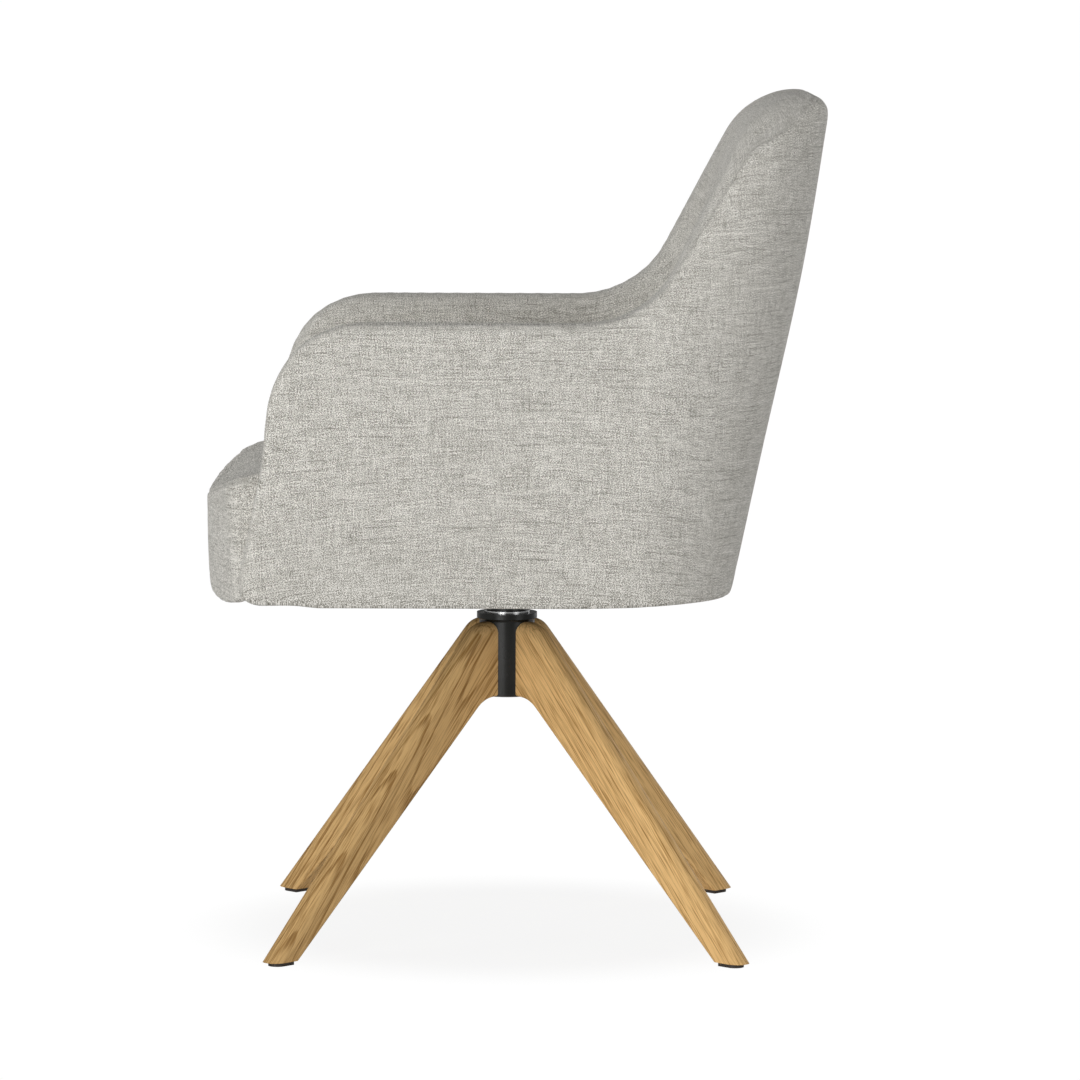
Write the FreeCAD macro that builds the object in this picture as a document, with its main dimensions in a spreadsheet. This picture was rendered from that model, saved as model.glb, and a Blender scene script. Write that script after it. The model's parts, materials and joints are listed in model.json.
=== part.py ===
import FreeCAD, Part
import math
import os
import re

import Sketcher

# Swivel armchair: an upholstered tub on a turned hub with four oak legs.
# The origin is on the swivel axis at floor level, +Z is up, the chair faces -Y
# and +X is the sitter's left. All sizes are millimetres.

SIZES = {
    # clearances and the one overrun for cuts
    "overrun": 60.0,
    "soft_gap": 0.3,
    "part_gap": 0.05,
    "running_gap": 0.05,
    # legs, in the plane that runs out from the axis
    "leg_thickness": 25.0,
    "leg_top": 315.5,
    "leg_heel": 240.0,
    "leg_outer_foot": 332.0,
    "leg_inner_foot": 299.0,
    "leg_outer_top": 44.4,
    "leg_inner_top": 41.9,
    "leg_shoulder_round": 30.0,
    "leg_crotch_round": 35.0,
    "leg_outer_round": 11.0,
    "leg_inner_round": 3.0,
    # glides under the feet
    "glide_height": 4.0,
    "glide_inset": 4.0,
    "glide_length": 23.0,
    "glide_half_width": 9.0,
    "nail_radius": 1.5,
    "nail_head_radius": 4.0,
    "nail_head_height": 1.0,
    "nail_head_lift": 1.0,
    "nail_depth": 16.0,
    # bolts that hold each leg to the hub
    "leg_bolt_high": 295.0,
    "leg_bolt_low": 272.0,
    "leg_bolt_radius": 4.0,
    "leg_bolt_length": 26.0,
    "leg_bolt_head_radius": 7.0,
    "leg_bolt_head_height": 5.0,
    "leg_washer_radius": 7.8,
    "leg_washer_height": 2.5,
    "insert_radius": 6.5,
    "insert_length": 20.0,
    # hub column
    "hub_radius": 28.0,
    "hub_bore_radius": 23.5,
    "hub_bottom": 241.0,
    "flare_radius": 2.5,
    "flange_bottom": 318.0,
    "flange_top": 323.5,
    "web_bottom": 304.3,
    "bearing_seat": 314.5,
    "plug_bottom": 253.0,
    "plug_top": 263.0,
    "cap_height": 1.5,
    "cap_radius": 27.0,
    "cap_skirt_height": 4.0,
    "cap_skirt_wall": 2.0,
    # spindle and its bushes
    "spindle_radius": 12.5,
    "spindle_bottom": 245.0,
    "spigot_radius": 10.0,
    "collar_radius": 20.5,
    "collar_height": 5.0,
    "bush_wall": 2.45,
    "bush_flange_radius": 19.0,
    "bush_flange_height": 1.5,
    "washer_height": 1.5,
    "thrust_gap": 0.2,
    "ring_groove_depth": 1.0,
    "ring_radius": 15.5,
    "ring_height": 1.5,
    "ring_turn": 320.0,
    # thrust bearing
    "race_outer_radius": 23.45,
    "race_inner_radius": 15.1,
    "race_height": 3.0,
    "bearing_height": 11.0,
    "ball_radius": 3.0,
    "ball_circle_radius": 19.3,
    "ball_count": 14,
    "cage_height": 3.0,
    "cage_inner_radius": 16.0,
    "cage_outer_radius": 22.6,
    "pocket_gap": 0.15,
    # seat plate and its bolts
    "plate_half_side": 85.0,
    "plate_thickness": 5.5,
    "plate_corner_radius": 25.0,
    "plate_bolt_offset": 62.0,
    "plate_bolt_radius": 4.0,
    "plate_bolt_length": 18.0,
    "plate_bolt_head_radius": 7.0,
    "plate_bolt_head_height": 4.5,
    "bolt_hole_gap": 0.4,
    "tee_nut_radius": 5.5,
    "tee_nut_flange_radius": 11.0,
    "tee_nut_flange_height": 1.5,
    # bottom board and dust cover
    "board_bottom": 361.0,
    "board_thickness": 15.0,
    "board_front": 250.0,
    "board_corner_radius": 12.0,
    "dust_cover_thickness": 1.5,
    "dust_cover_margin": 12.0,
    "dust_cover_gap": 3.0,
    "screw_radius": 2.0,
    "screw_head_radius": 3.6,
    "screw_head_height": 2.2,
    "screw_length": 20.0,
    "screw_margin": 4.0,
    # tub, seen from above at six heights: height, half width, rear reach, rear corner radius
    "tub_bottom": 358.0,
    "tub_low": 425.0,
    "tub_seat": 500.0,
    "tub_arm": 632.0,
    "tub_back": 740.0,
    "tub_top": 851.0,
    "width_bottom": 246.0,
    "width_low": 257.0,
    "width_seat": 266.0,
    "width_arm": 250.0,
    "width_back": 224.0,
    "width_top": 196.0,
    "rear_bottom": 226.0,
    "rear_low": 241.0,
    "rear_seat": 255.0,
    "rear_arm": 281.0,
    "rear_back": 301.0,
    "rear_top": 319.0,
    "corner_bottom": 115.0,
    "corner_low": 125.0,
    "corner_seat": 130.0,
    "corner_arm": 125.0,
    "corner_back": 115.0,
    "corner_top": 105.0,
    # hollow of the tub, at the same heights
    "hollow_width_bottom": 206.0,
    "hollow_width_low": 206.5,
    "hollow_width_seat": 208.0,
    "hollow_width_arm": 203.0,
    "hollow_width_back": 184.0,
    "hollow_width_top": 164.0,
    "hollow_rear_bottom": 148.0,
    "hollow_rear_low": 149.0,
    "hollow_rear_seat": 153.0,
    "hollow_rear_arm": 179.0,
    "hollow_rear_back": 201.0,
    "hollow_rear_top": 224.0,
    "hollow_corner": 105.0,
    # side outline of the arms and the back
    "arm_front_foot": 256.0,
    "arm_front_head": 240.0,
    "arm_front_radius": 100.0,
    "arm_sweep_start": 72.0,
    "arm_sweep_end": 150.0,
    "arm_sweep_rise": 41.0,
    "arm_sweep_radius": 94.0,
    "slope_lean_share": 0.83,
    "slope_dip_share": 0.56,
    "back_edge_reach": 233.0,
    "back_edge_top": 806.0,
    "back_swell": 18.0,
    "back_swell_drop": 6.0,
    "back_crown_reach": 292.0,
    "back_crown_radius": 80.0,
    "top_flat_half": 88.0,
    "top_corner_radius": 125.0,
    "rear_crown_run": 23.0,
    "rear_crown_drop": 21.0,
    "rear_crown_lean": 3.0,
    "rear_crown_radius": 22.0,
    "arm_inner_round": 10.0,
    # layers of the tub
    "cover_thickness": 7.0,
    "frame_thickness": 12.0,
    "frame_inset": 16.0,
    # seat cushion
    "cushion_half_width": 205.5,
    "cushion_rear": 147.5,
    "cushion_nose": 308.0,
    "cushion_shoulder": 250.0,
    "cushion_corner_reach": 175.0,
    "cushion_nose_radius": 560.0,
    "cushion_corner_radius": 34.0,
    "cushion_bottom": 356.0,
    "cushion_tuck": 9.0,
    "nose_centre_height": 443.0,
    "nose_side_height": 466.0,
    "brow_reach": 250.0,
    "brow_centre_height": 463.0,
    "brow_side_height": 482.0,
    "crown_reach": 170.0,
    "crown_centre_height": 473.0,
    "crown_side_height": 488.0,
    "lap_reach": 50.0,
    "lap_centre_height": 476.0,
    "lap_side_height": 489.0,
    "hip_reach": -70.0,
    "hip_centre_height": 474.0,
    "hip_side_height": 489.0,
    "rear_centre_height": 471.0,
    "rear_side_height": 489.0,
    "cushion_foot_round": 8.0,
}

LEG_TURNS = {
    "leg_front_left": 315.0,
    "leg_rear_left": 45.0,
    "leg_rear_right": 135.0,
    "leg_front_right": 225.0,
}
TUB_LEVELS = ("bottom", "low", "seat", "arm", "back", "top")
# where the screws stand along each side of the board, as shares of its front reach
SIDE_SCREW_SHARES = (-0.8, -0.2, 0.35)
# where the screws stand along the rear of the board, as shares of its half width
REAR_SCREW_SHARES = (-0.3, 0.3)

# how close a point lies to a size to count as on it
NEAR = 0.01

AXIS = FreeCAD.Vector(0, 0, 1)


def sized(text):
    """Puts the sheet's name before each size that an expression names."""
    return re.sub(r"\b([a-z][a-z_0-9]*)\b(?!\()", r"Sizes.\1", text)


class Model:
    """A parametric document, its sheet of sizes and the sub-parts made from them."""

    def __init__(self, name):
        self.doc = FreeCAD.newDocument(name)
        self.sheet = self.doc.addObject("Spreadsheet::Sheet", "Sizes")
        for row, (alias, size) in enumerate(SIZES.items(), start=1):
            self.sheet.set(f"A{row}", alias)
            self.sheet.set(f"B{row}", str(size))
            self.sheet.setAlias(f"B{row}", alias)
        self.doc.recompute()
        self.parts = []

    def value(self, text):
        """Works out an expression of sizes as a number."""
        return float(self.sheet.evalExpression(sized(text)))

    def bind(self, target, prop, text):
        target.setExpression(prop, sized(text))

    def keep(self, part, name):
        """Names a finished sub-part, so that it is written to its own file."""
        part.Label = name
        self.parts.append(part)
        return part

    def body(self, name):
        return self.doc.addObject("PartDesign::Body", name + "_body")

    def plane(self, body, role):
        return next(feature for feature in body.Origin.OriginFeatures if feature.Role == role)

    def sketch(self, body, name, role, lift=None):
        """Puts a sketch on one of the body's origin planes, raised along its normal."""
        sketch = body.newObject("Sketcher::SketchObject", name)
        sketch.AttachmentSupport = [(self.plane(body, role), "")]
        sketch.MapMode = "FlatFace"
        if lift:
            self.bind(sketch, "AttachmentOffset.Base.z", lift)
        return sketch

    def pin(self, sketch, kind, item, end, text):
        """Holds one point of a sketch at a distance from the sketch's origin."""
        number = sketch.addConstraint(Sketcher.Constraint(kind, -1, 1, item, end, self.value(text)))
        self.bind(sketch, f"Constraints[{number}]", text)

    def outline(self, sketch, corners):
        """Draws a closed outline through corners of (x, y) or (x, y, radius, side).

        A radius makes the stretch after its corner an arc, which turns to the left or the right.
        """
        points = [FreeCAD.Vector(self.value(corner[0]), self.value(corner[1]), 0) for corner in corners]
        ends = []
        for number, corner in enumerate(corners):
            start = points[number]
            stop = points[(number + 1) % len(points)]
            if len(corner) == 2:
                item = sketch.addGeometry(Part.LineSegment(start, stop))
                ends.append((item, 1, 2))
                continue
            radius = self.value(corner[2])
            left = corner[3] == "left"
            first, last = (start, stop) if left else (stop, start)
            half = (last - first) * 0.5
            reach = math.sqrt(max(radius * radius - half.Length * half.Length, 0))
            centre = first + half + AXIS.cross(half).normalize() * reach
            angles = [math.atan2(end.y - centre.y, end.x - centre.x) for end in (first, last)]
            if angles[1] < angles[0]:
                angles[1] += math.tau
            arc = Part.ArcOfCircle(Part.Circle(centre, AXIS, radius), angles[0], angles[1])
            item = sketch.addGeometry(arc)
            ends.append((item, 1, 2) if left else (item, 2, 1))
        for number, corner in enumerate(corners):
            item, here, there = ends[number]
            following, begin, _ = ends[(number + 1) % len(ends)]
            sketch.addConstraint(Sketcher.Constraint("Coincident", item, there, following, begin))
            self.pin(sketch, "DistanceX", item, here, corner[0])
            self.pin(sketch, "DistanceY", item, here, corner[1])
            if len(corner) > 2:
                radius = self.value(corner[2])
                bound = sketch.addConstraint(Sketcher.Constraint("Radius", item, radius))
                self.bind(sketch, f"Constraints[{bound}]", corner[2])
        return sketch

    def circle(self, sketch, across, up, radius):
        """Draws a circle whose centre and radius follow the sheet."""
        centre = FreeCAD.Vector(self.value(across), self.value(up), 0)
        item = sketch.addGeometry(Part.Circle(centre, AXIS, self.value(radius)))
        self.pin(sketch, "DistanceX", item, 3, across)
        self.pin(sketch, "DistanceY", item, 3, up)
        bound = sketch.addConstraint(Sketcher.Constraint("Radius", item, self.value(radius)))
        self.bind(sketch, f"Constraints[{bound}]", radius)
        return sketch

    def extrude(self, body, kind, name, sketch, length, symmetric=False, reverse=False):
        """Adds a Pad or a Pocket of a sketch."""
        feature = body.newObject("PartDesign::" + kind, name)
        feature.Profile = sketch
        feature.Midplane = symmetric
        feature.Reversed = reverse
        self.bind(feature, "Length", length)
        self.doc.recompute()
        return feature

    def turn(self, body, kind, name, sketch, angle=None):
        """Adds a Revolution or a Groove of a sketch about its upright axis."""
        feature = body.newObject("PartDesign::" + kind, name)
        feature.Profile = sketch
        feature.ReferenceAxis = (sketch, ["V_Axis"])
        feature.Angle = 360.0
        if angle:
            self.bind(feature, "Angle", angle)
        self.doc.recompute()
        return feature

    def loft(self, body, kind, name, sketches):
        """Adds an AdditiveLoft or a SubtractiveLoft through sketches."""
        self.doc.recompute()
        feature = body.newObject("PartDesign::" + kind, name)
        feature.Profile = sketches[0]
        feature.Sections = sketches[1:]
        self.doc.recompute()
        return feature

    def fillet(self, body, name, radius, choose):
        """Rounds the edges of the body so far that a test picks by their middle and shape."""
        base = body.Tip
        edges = []
        for number, edge in enumerate(base.Shape.Edges, start=1):
            middle = edge.valueAt((edge.FirstParameter + edge.LastParameter) / 2)
            if choose(middle, edge):
                edges.append(f"Edge{number}")
        feature = body.newObject("PartDesign::Fillet", name)
        feature.Base = (base, edges)
        self.bind(feature, "Radius", radius)
        self.doc.recompute()
        return feature

    def revolved(self, name, corners, angle=None):
        """Makes a turned sub-part from half of its section."""
        body = self.body(name)
        section = self.outline(self.sketch(body, name + "_section", "XZ_Plane"), corners)
        self.turn(body, "Revolution", name + "_turning", section, angle)
        return self.keep(body, name)

    def pattern(self, body, name, originals, count):
        """Repeats features round the upright axis and makes the pattern the body's tip."""
        feature = body.newObject("PartDesign::PolarPattern", name)
        feature.Originals = originals
        feature.Axis = (self.plane(body, "Z_Axis"), [""])
        feature.Angle = 360.0
        self.bind(feature, "Occurrences", count)
        body.Tip = feature
        self.doc.recompute()
        return feature

    def place(self, body, turn):
        """Turns a sub-part about the upright axis to where it stands."""
        body.Placement = FreeCAD.Placement(FreeCAD.Vector(), FreeCAD.Rotation(AXIS, turn))


def make_leg(model, name, turn):
    """Makes one oak leg: a tapered board with rounded back, coped to the hub."""
    body = model.body(name)
    side = model.sketch(body, name + "_side", "XZ_Plane")
    model.outline(side, [
        ("0", "leg_heel"),
        ("leg_inner_top", "leg_heel"),
        ("leg_inner_foot", "glide_height"),
        ("leg_outer_foot", "glide_height"),
        ("leg_outer_top", "leg_top"),
        ("0", "leg_top"),
    ])
    model.extrude(body, "Pad", name + "_blank", side, "leg_thickness", symmetric=True)

    def corner(across, up):
        place = FreeCAD.Vector(model.value(across), 0, model.value(up))
        return lambda middle, edge: middle.distanceToPoint(place) < NEAR

    model.fillet(body, name + "_shoulder", "leg_shoulder_round", corner("leg_outer_top", "leg_top"))
    model.fillet(body, name + "_crotch", "leg_crotch_round", corner("leg_inner_top", "leg_heel"))

    face = model.value("leg_thickness / 2")
    foot = model.value("glide_height")
    hub_middle = model.value("(leg_top + leg_heel) / 2")
    fall = (hub_middle - foot) / model.value("(leg_outer_foot + leg_inner_foot) / 2")

    def along(outer):
        def choose(middle, edge):
            on_face = abs(abs(middle.y) - face) < NEAR
            free = middle.x > NEAR and middle.z > foot + NEAR
            above = middle.z > hub_middle - fall * middle.x
            return on_face and free and above == outer
        return choose

    model.fillet(body, name + "_back", "leg_outer_round", along(True))
    model.fillet(body, name + "_belly", "leg_inner_round", along(False))

    cope = model.sketch(body, name + "_cope", "XZ_Plane")
    model.outline(cope, [
        ("0", "leg_heel - overrun"),
        ("hub_radius + part_gap", "leg_heel - overrun"),
        ("hub_radius + part_gap", "leg_top + overrun"),
        ("0", "leg_top + overrun"),
    ])
    model.turn(body, "Groove", name + "_coping", cope)

    bores = model.sketch(body, name + "_bores", "YZ_Plane")
    for height in ("leg_bolt_low", "leg_bolt_high"):
        model.circle(bores, "0", height, "insert_radius + part_gap")
    reach = "hub_radius + part_gap + insert_length + leg_bolt_head_height"
    model.extrude(body, "Pocket", name + "_boring", bores, reach, reverse=True)

    pilot = model.sketch(body, name + "_pilot", "XY_Plane")
    model.circle(pilot, "(leg_outer_foot + leg_inner_foot) / 2", "0", "nail_radius + part_gap")
    model.extrude(body, "Pocket", name + "_piloting", pilot, "glide_height + nail_depth", reverse=True)
    model.place(body, turn)
    return model.keep(body, name)


def make_glide(model, name, turn):
    """Makes the plastic glide under one foot: flat at the heel and round at the toe."""
    body = model.body(name)
    sole = model.sketch(body, name + "_sole", "XY_Plane")
    start = "leg_inner_foot + glide_inset"
    waist = "leg_inner_foot + glide_inset + glide_length - glide_half_width"
    model.outline(sole, [
        (start, "-glide_half_width"),
        (waist, "-glide_half_width", "glide_half_width", "left"),
        (waist + " + glide_half_width", "0", "glide_half_width", "left"),
        (waist, "glide_half_width"),
        (start, "glide_half_width"),
    ])
    model.extrude(body, "Pad", name + "_slab", sole, "glide_height")
    middle = "(leg_outer_foot + leg_inner_foot) / 2"
    bore = model.circle(model.sketch(body, name + "_bore", "XY_Plane"), middle, "0", "nail_radius + part_gap")
    model.extrude(body, "Pocket", name + "_boring", bore, "glide_height", reverse=True)
    sink = model.sketch(body, name + "_sink", "XY_Plane")
    model.circle(sink, middle, "0", "nail_head_radius + part_gap")
    model.extrude(body, "Pocket", name + "_sinking", sink, "nail_head_lift + nail_head_height", reverse=True)
    model.place(body, turn)
    return model.keep(body, name)


def make_glide_nails(model):
    """Makes the four nails that hold the glides, as one group of solids."""
    name = "glide_nails"
    body = model.body(name)
    middle = "(leg_outer_foot + leg_inner_foot) / 2"
    head = model.sketch(body, name + "_heads", "XY_Plane", "nail_head_lift")
    model.circle(head, middle, "0", "nail_head_radius")
    heads = model.extrude(body, "Pad", name + "_heading", head, "nail_head_height")
    shank = model.sketch(body, name + "_shanks", "XY_Plane", "nail_head_lift")
    model.circle(shank, middle, "0", "nail_radius")
    length = "glide_height + nail_depth - nail_head_lift - part_gap"
    shanks = model.extrude(body, "Pad", name + "_shanking", shank, length)
    model.pattern(body, name + "_ring", [heads, shanks], "4")
    model.place(body, LEG_TURNS["leg_rear_left"])
    return model.keep(body, name)


def make_hub_column(model):
    """Makes the hub: a tube with a web for the upper bush and a flange round the bearing."""
    name = "hub_column"
    body = model.body(name)
    section = model.sketch(body, name + "_section", "XZ_Plane")
    model.outline(section, [
        ("hub_bore_radius", "hub_bottom"),
        ("hub_radius", "hub_bottom"),
        ("hub_radius", "flange_bottom - flare_radius", "flare_radius", "right"),
        ("hub_radius + flare_radius", "flange_bottom"),
        ("hub_radius + flare_radius", "flange_top"),
        ("race_outer_radius + part_gap", "flange_top"),
        ("race_outer_radius + part_gap", "bearing_seat"),
        ("spindle_radius + running_gap + bush_wall", "bearing_seat"),
        ("spindle_radius + running_gap + bush_wall", "web_bottom"),
        ("hub_bore_radius", "web_bottom"),
    ])
    model.turn(body, "Revolution", name + "_turning", section)
    bores = model.sketch(body, name + "_bores", "YZ_Plane")
    for height in ("leg_bolt_low", "leg_bolt_high"):
        model.circle(bores, "0", height, "leg_bolt_radius + bolt_hole_gap")
    boring = model.extrude(body, "Pocket", name + "_boring", bores, "hub_radius + overrun", reverse=True)
    model.pattern(body, name + "_ring", [boring], "4")
    model.place(body, LEG_TURNS["leg_rear_left"])
    return model.keep(body, name)


def make_leg_inserts(model):
    """Makes the eight threaded inserts in the ends of the legs."""
    name = "leg_inserts"
    body = model.body(name)
    section = model.sketch(body, name + "_section", "YZ_Plane", "hub_radius + part_gap")
    for height in ("leg_bolt_low", "leg_bolt_high"):
        model.circle(section, "0", height, "insert_radius")
        model.circle(section, "0", height, "leg_bolt_radius + part_gap")
    sleeves = model.extrude(body, "Pad", name + "_sleeves", section, "insert_length")
    model.pattern(body, name + "_ring", [sleeves], "4")
    model.place(body, LEG_TURNS["leg_rear_left"])
    return model.keep(body, name)


def make_leg_washers(model):
    """Makes the eight saddle washers, flat inside and curved to the hub's bore."""
    name = "leg_washers"
    body = model.body(name)
    section = model.sketch(body, name + "_section", "YZ_Plane", "hub_bore_radius - leg_washer_height")
    for height in ("leg_bolt_low", "leg_bolt_high"):
        model.circle(section, "0", height, "leg_washer_radius")
        model.circle(section, "0", height, "leg_bolt_radius + part_gap")
    discs = model.extrude(body, "Pad", name + "_discs", section, "leg_washer_height + overrun")
    model.pattern(body, name + "_ring", [discs], "4")
    shell = model.sketch(body, name + "_shell", "XZ_Plane")
    model.outline(shell, [
        ("hub_bore_radius - part_gap", "hub_bottom"),
        ("hub_bore_radius + 2 * overrun", "hub_bottom"),
        ("hub_bore_radius + 2 * overrun", "flange_top"),
        ("hub_bore_radius - part_gap", "flange_top"),
    ])
    model.turn(body, "Groove", name + "_curving", shell)
    model.place(body, LEG_TURNS["leg_rear_left"])
    return model.keep(body, name)


def make_leg_bolts(model):
    """Makes the eight hexagon bolts that draw the legs onto the hub from inside it."""
    name = "leg_bolts"
    body = model.body(name)
    seat = "hub_bore_radius - leg_washer_height"
    heads = model.sketch(body, name + "_heads", "YZ_Plane", seat + " - leg_bolt_head_height")
    shanks = model.sketch(body, name + "_shanks", "YZ_Plane", seat)
    for height in ("leg_bolt_low", "leg_bolt_high"):
        corners = [
            (f"leg_bolt_head_radius * cos({turn})", f"{height} + leg_bolt_head_radius * sin({turn})")
            for turn in range(0, 360, 60)
        ]
        model.outline(heads, corners)
        model.circle(shanks, "0", height, "leg_bolt_radius")
    heading = model.extrude(body, "Pad", name + "_heading", heads, "leg_bolt_head_height")
    shanking = model.extrude(body, "Pad", name + "_shanking", shanks, "leg_bolt_length")
    model.pattern(body, name + "_ring", [heading, shanking], "4")
    model.place(body, LEG_TURNS["leg_rear_left"])
    return model.keep(body, name)


def make_bush_parts(model):
    """Makes the plug that closes the hub, the two bushes and the cap under the hub."""
    bush_outer = "spindle_radius + running_gap + bush_wall"
    bush_inner = "spindle_radius + running_gap"
    model.revolved("bearing_plug", [
        (bush_outer, "plug_bottom"),
        ("hub_bore_radius", "plug_bottom"),
        ("hub_bore_radius", "plug_top"),
        (bush_outer, "plug_top"),
    ])
    model.revolved("upper_bush", [
        (bush_inner, "web_bottom"),
        (bush_outer, "web_bottom"),
        (bush_outer, "bearing_seat"),
        (bush_inner, "bearing_seat"),
    ])
    model.revolved("lower_bush", [
        (bush_inner, "plug_bottom - bush_flange_height"),
        ("bush_flange_radius", "plug_bottom - bush_flange_height"),
        ("bush_flange_radius", "plug_bottom"),
        (bush_outer, "plug_bottom"),
        (bush_outer, "plug_top"),
        (bush_inner, "plug_top"),
    ])
    model.revolved("bottom_cap", [
        ("0", "hub_bottom - cap_height"),
        ("cap_radius", "hub_bottom - cap_height"),
        ("cap_radius", "hub_bottom"),
        ("hub_bore_radius", "hub_bottom"),
        ("hub_bore_radius", "hub_bottom + cap_skirt_height"),
        ("hub_bore_radius - cap_skirt_wall", "hub_bottom + cap_skirt_height"),
        ("hub_bore_radius - cap_skirt_wall", "hub_bottom"),
        ("0", "hub_bottom"),
    ])


def make_bearing(model):
    """Makes the thrust bearing: two races, the cage and its ring of balls."""
    centre = "bearing_seat + bearing_height / 2"
    track = "ball_radius + part_gap"
    half_track = f"sqrt(({track}) ^ 2 - (bearing_height / 2 - race_height) ^ 2)"
    inner = f"ball_circle_radius - {half_track}"
    outer = f"ball_circle_radius + {half_track}"
    low = "bearing_seat + race_height"
    high = "bearing_seat + bearing_height - race_height"
    top = "bearing_seat + bearing_height"
    model.revolved("bearing_race_lower", [
        ("race_inner_radius", "bearing_seat"),
        ("race_outer_radius", "bearing_seat"),
        ("race_outer_radius", low),
        (outer, low, track, "right"),
        (inner, low),
        ("race_inner_radius", low),
    ])
    model.revolved("bearing_race_upper", [
        ("race_inner_radius", high),
        (inner, high, track, "right"),
        (outer, high),
        ("race_outer_radius", high),
        ("race_outer_radius", top),
        ("race_inner_radius", top),
    ])

    cage = model.body("bearing_cage")
    section = model.sketch(cage, "bearing_cage_section", "XZ_Plane")
    model.outline(section, [
        ("cage_inner_radius", centre + " - cage_height / 2"),
        ("cage_outer_radius", centre + " - cage_height / 2"),
        ("cage_outer_radius", centre + " + cage_height / 2"),
        ("cage_inner_radius", centre + " + cage_height / 2"),
    ])
    model.turn(cage, "Revolution", "bearing_cage_turning", section)
    hole = model.sketch(cage, "bearing_cage_hole", "XY_Plane")
    model.circle(hole, "ball_circle_radius", "0", "ball_radius + pocket_gap")
    pocket = model.extrude(cage, "Pocket", "bearing_cage_pocket", hole, "flange_top + overrun", reverse=True)
    model.pattern(cage, "bearing_cage_ring", [pocket], "ball_count")
    model.keep(cage, "bearing_cage")

    balls = model.body("bearing_balls")
    half = model.sketch(balls, "bearing_ball_half", "XY_Plane", centre)
    model.outline(half, [
        ("ball_circle_radius", "-ball_radius", "ball_radius", "left"),
        ("ball_circle_radius + ball_radius", "0", "ball_radius", "left"),
        ("ball_circle_radius", "ball_radius"),
    ])
    ball = balls.newObject("PartDesign::Revolution", "bearing_ball_turning")
    ball.Profile = half
    ball.ReferenceAxis = (half, ["Edge3"])
    ball.Angle = 360.0
    model.doc.recompute()
    model.pattern(balls, "bearing_ball_ring", [ball], "ball_count")
    model.keep(balls, "bearing_balls")


def make_spindle_parts(model):
    """Makes the spindle and the washer and ring that keep it in the hub."""
    ring_top = "plug_bottom - bush_flange_height - thrust_gap - washer_height"
    groove = "spindle_radius - ring_groove_depth"
    collar = "bearing_seat + bearing_height"
    plate_low = "board_bottom - plate_thickness"
    model.revolved("spindle", [
        ("0", "spindle_bottom"),
        ("spindle_radius", "spindle_bottom"),
        ("spindle_radius", ring_top + " - ring_height - part_gap"),
        (groove, ring_top + " - ring_height - part_gap"),
        (groove, ring_top),
        ("spindle_radius", ring_top),
        ("spindle_radius", collar),
        ("collar_radius", collar),
        ("collar_radius", collar + " + collar_height"),
        ("spindle_radius", collar + " + collar_height"),
        ("spindle_radius", plate_low),
        ("spigot_radius", plate_low),
        ("spigot_radius", "board_bottom"),
        ("0", "board_bottom"),
    ])
    model.revolved("thrust_washer", [
        ("spindle_radius + part_gap", ring_top),
        ("bush_flange_radius", ring_top),
        ("bush_flange_radius", ring_top + " + washer_height"),
        ("spindle_radius + part_gap", ring_top + " + washer_height"),
    ])
    model.revolved("retaining_ring", [
        (groove + " + part_gap", ring_top + " - ring_height"),
        ("ring_radius", ring_top + " - ring_height"),
        ("ring_radius", ring_top),
        (groove + " + part_gap", ring_top),
    ], "ring_turn")


def rounded_box(half_width, front, rear, radius):
    """Gives the corners of a rectangle with four round corners, seen from above."""
    return [
        (f"-({half_width}) + {radius}", f"-({front})"),
        (f"{half_width} - ({radius})", f"-({front})", radius, "left"),
        (half_width, f"-({front}) + {radius}"),
        (half_width, f"{rear} - ({radius})", radius, "left"),
        (f"{half_width} - ({radius})", rear),
        (f"-({half_width}) + {radius}", rear, radius, "left"),
        (f"-({half_width})", f"{rear} - ({radius})"),
        (f"-({half_width})", f"-({front}) + {radius}", radius, "left"),
    ]


def bolt_places():
    """Gives the four places of the seat plate's bolts."""
    offset = "plate_bolt_offset"
    return [(x_sign + offset, y_sign + offset) for x_sign in ("", "-") for y_sign in ("", "-")]


def make_seat_plate(model):
    """Makes the steel plate on the spindle, with its centre hole and four bolt holes."""
    name = "seat_plate"
    body = model.body(name)
    side = "plate_half_side"
    plan = model.sketch(body, name + "_plan", "XY_Plane", "board_bottom - plate_thickness")
    model.outline(plan, rounded_box(side, side, side, "plate_corner_radius"))
    model.extrude(body, "Pad", name + "_blank", plan, "plate_thickness")
    holes = model.sketch(body, name + "_holes", "XY_Plane")
    model.circle(holes, "0", "0", "spigot_radius")
    for across, along in bolt_places():
        model.circle(holes, across, along, "plate_bolt_radius + bolt_hole_gap")
    model.extrude(body, "Pocket", name + "_drilling", holes, "board_bottom + overrun", reverse=True)
    return model.keep(body, name)


def make_plate_bolts(model):
    """Makes the four bolts under the seat plate."""
    name = "plate_bolts"
    body = model.body(name)
    low = "board_bottom - plate_thickness"
    heads = model.sketch(body, name + "_heads", "XY_Plane", low + " - plate_bolt_head_height")
    shanks = model.sketch(body, name + "_shanks", "XY_Plane", low)
    for across, along in bolt_places():
        model.circle(heads, across, along, "plate_bolt_head_radius")
        model.circle(shanks, across, along, "plate_bolt_radius")
    model.extrude(body, "Pad", name + "_heading", heads, "plate_bolt_head_height")
    model.extrude(body, "Pad", name + "_shanking", shanks, "plate_bolt_length")
    return model.keep(body, name)


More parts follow.
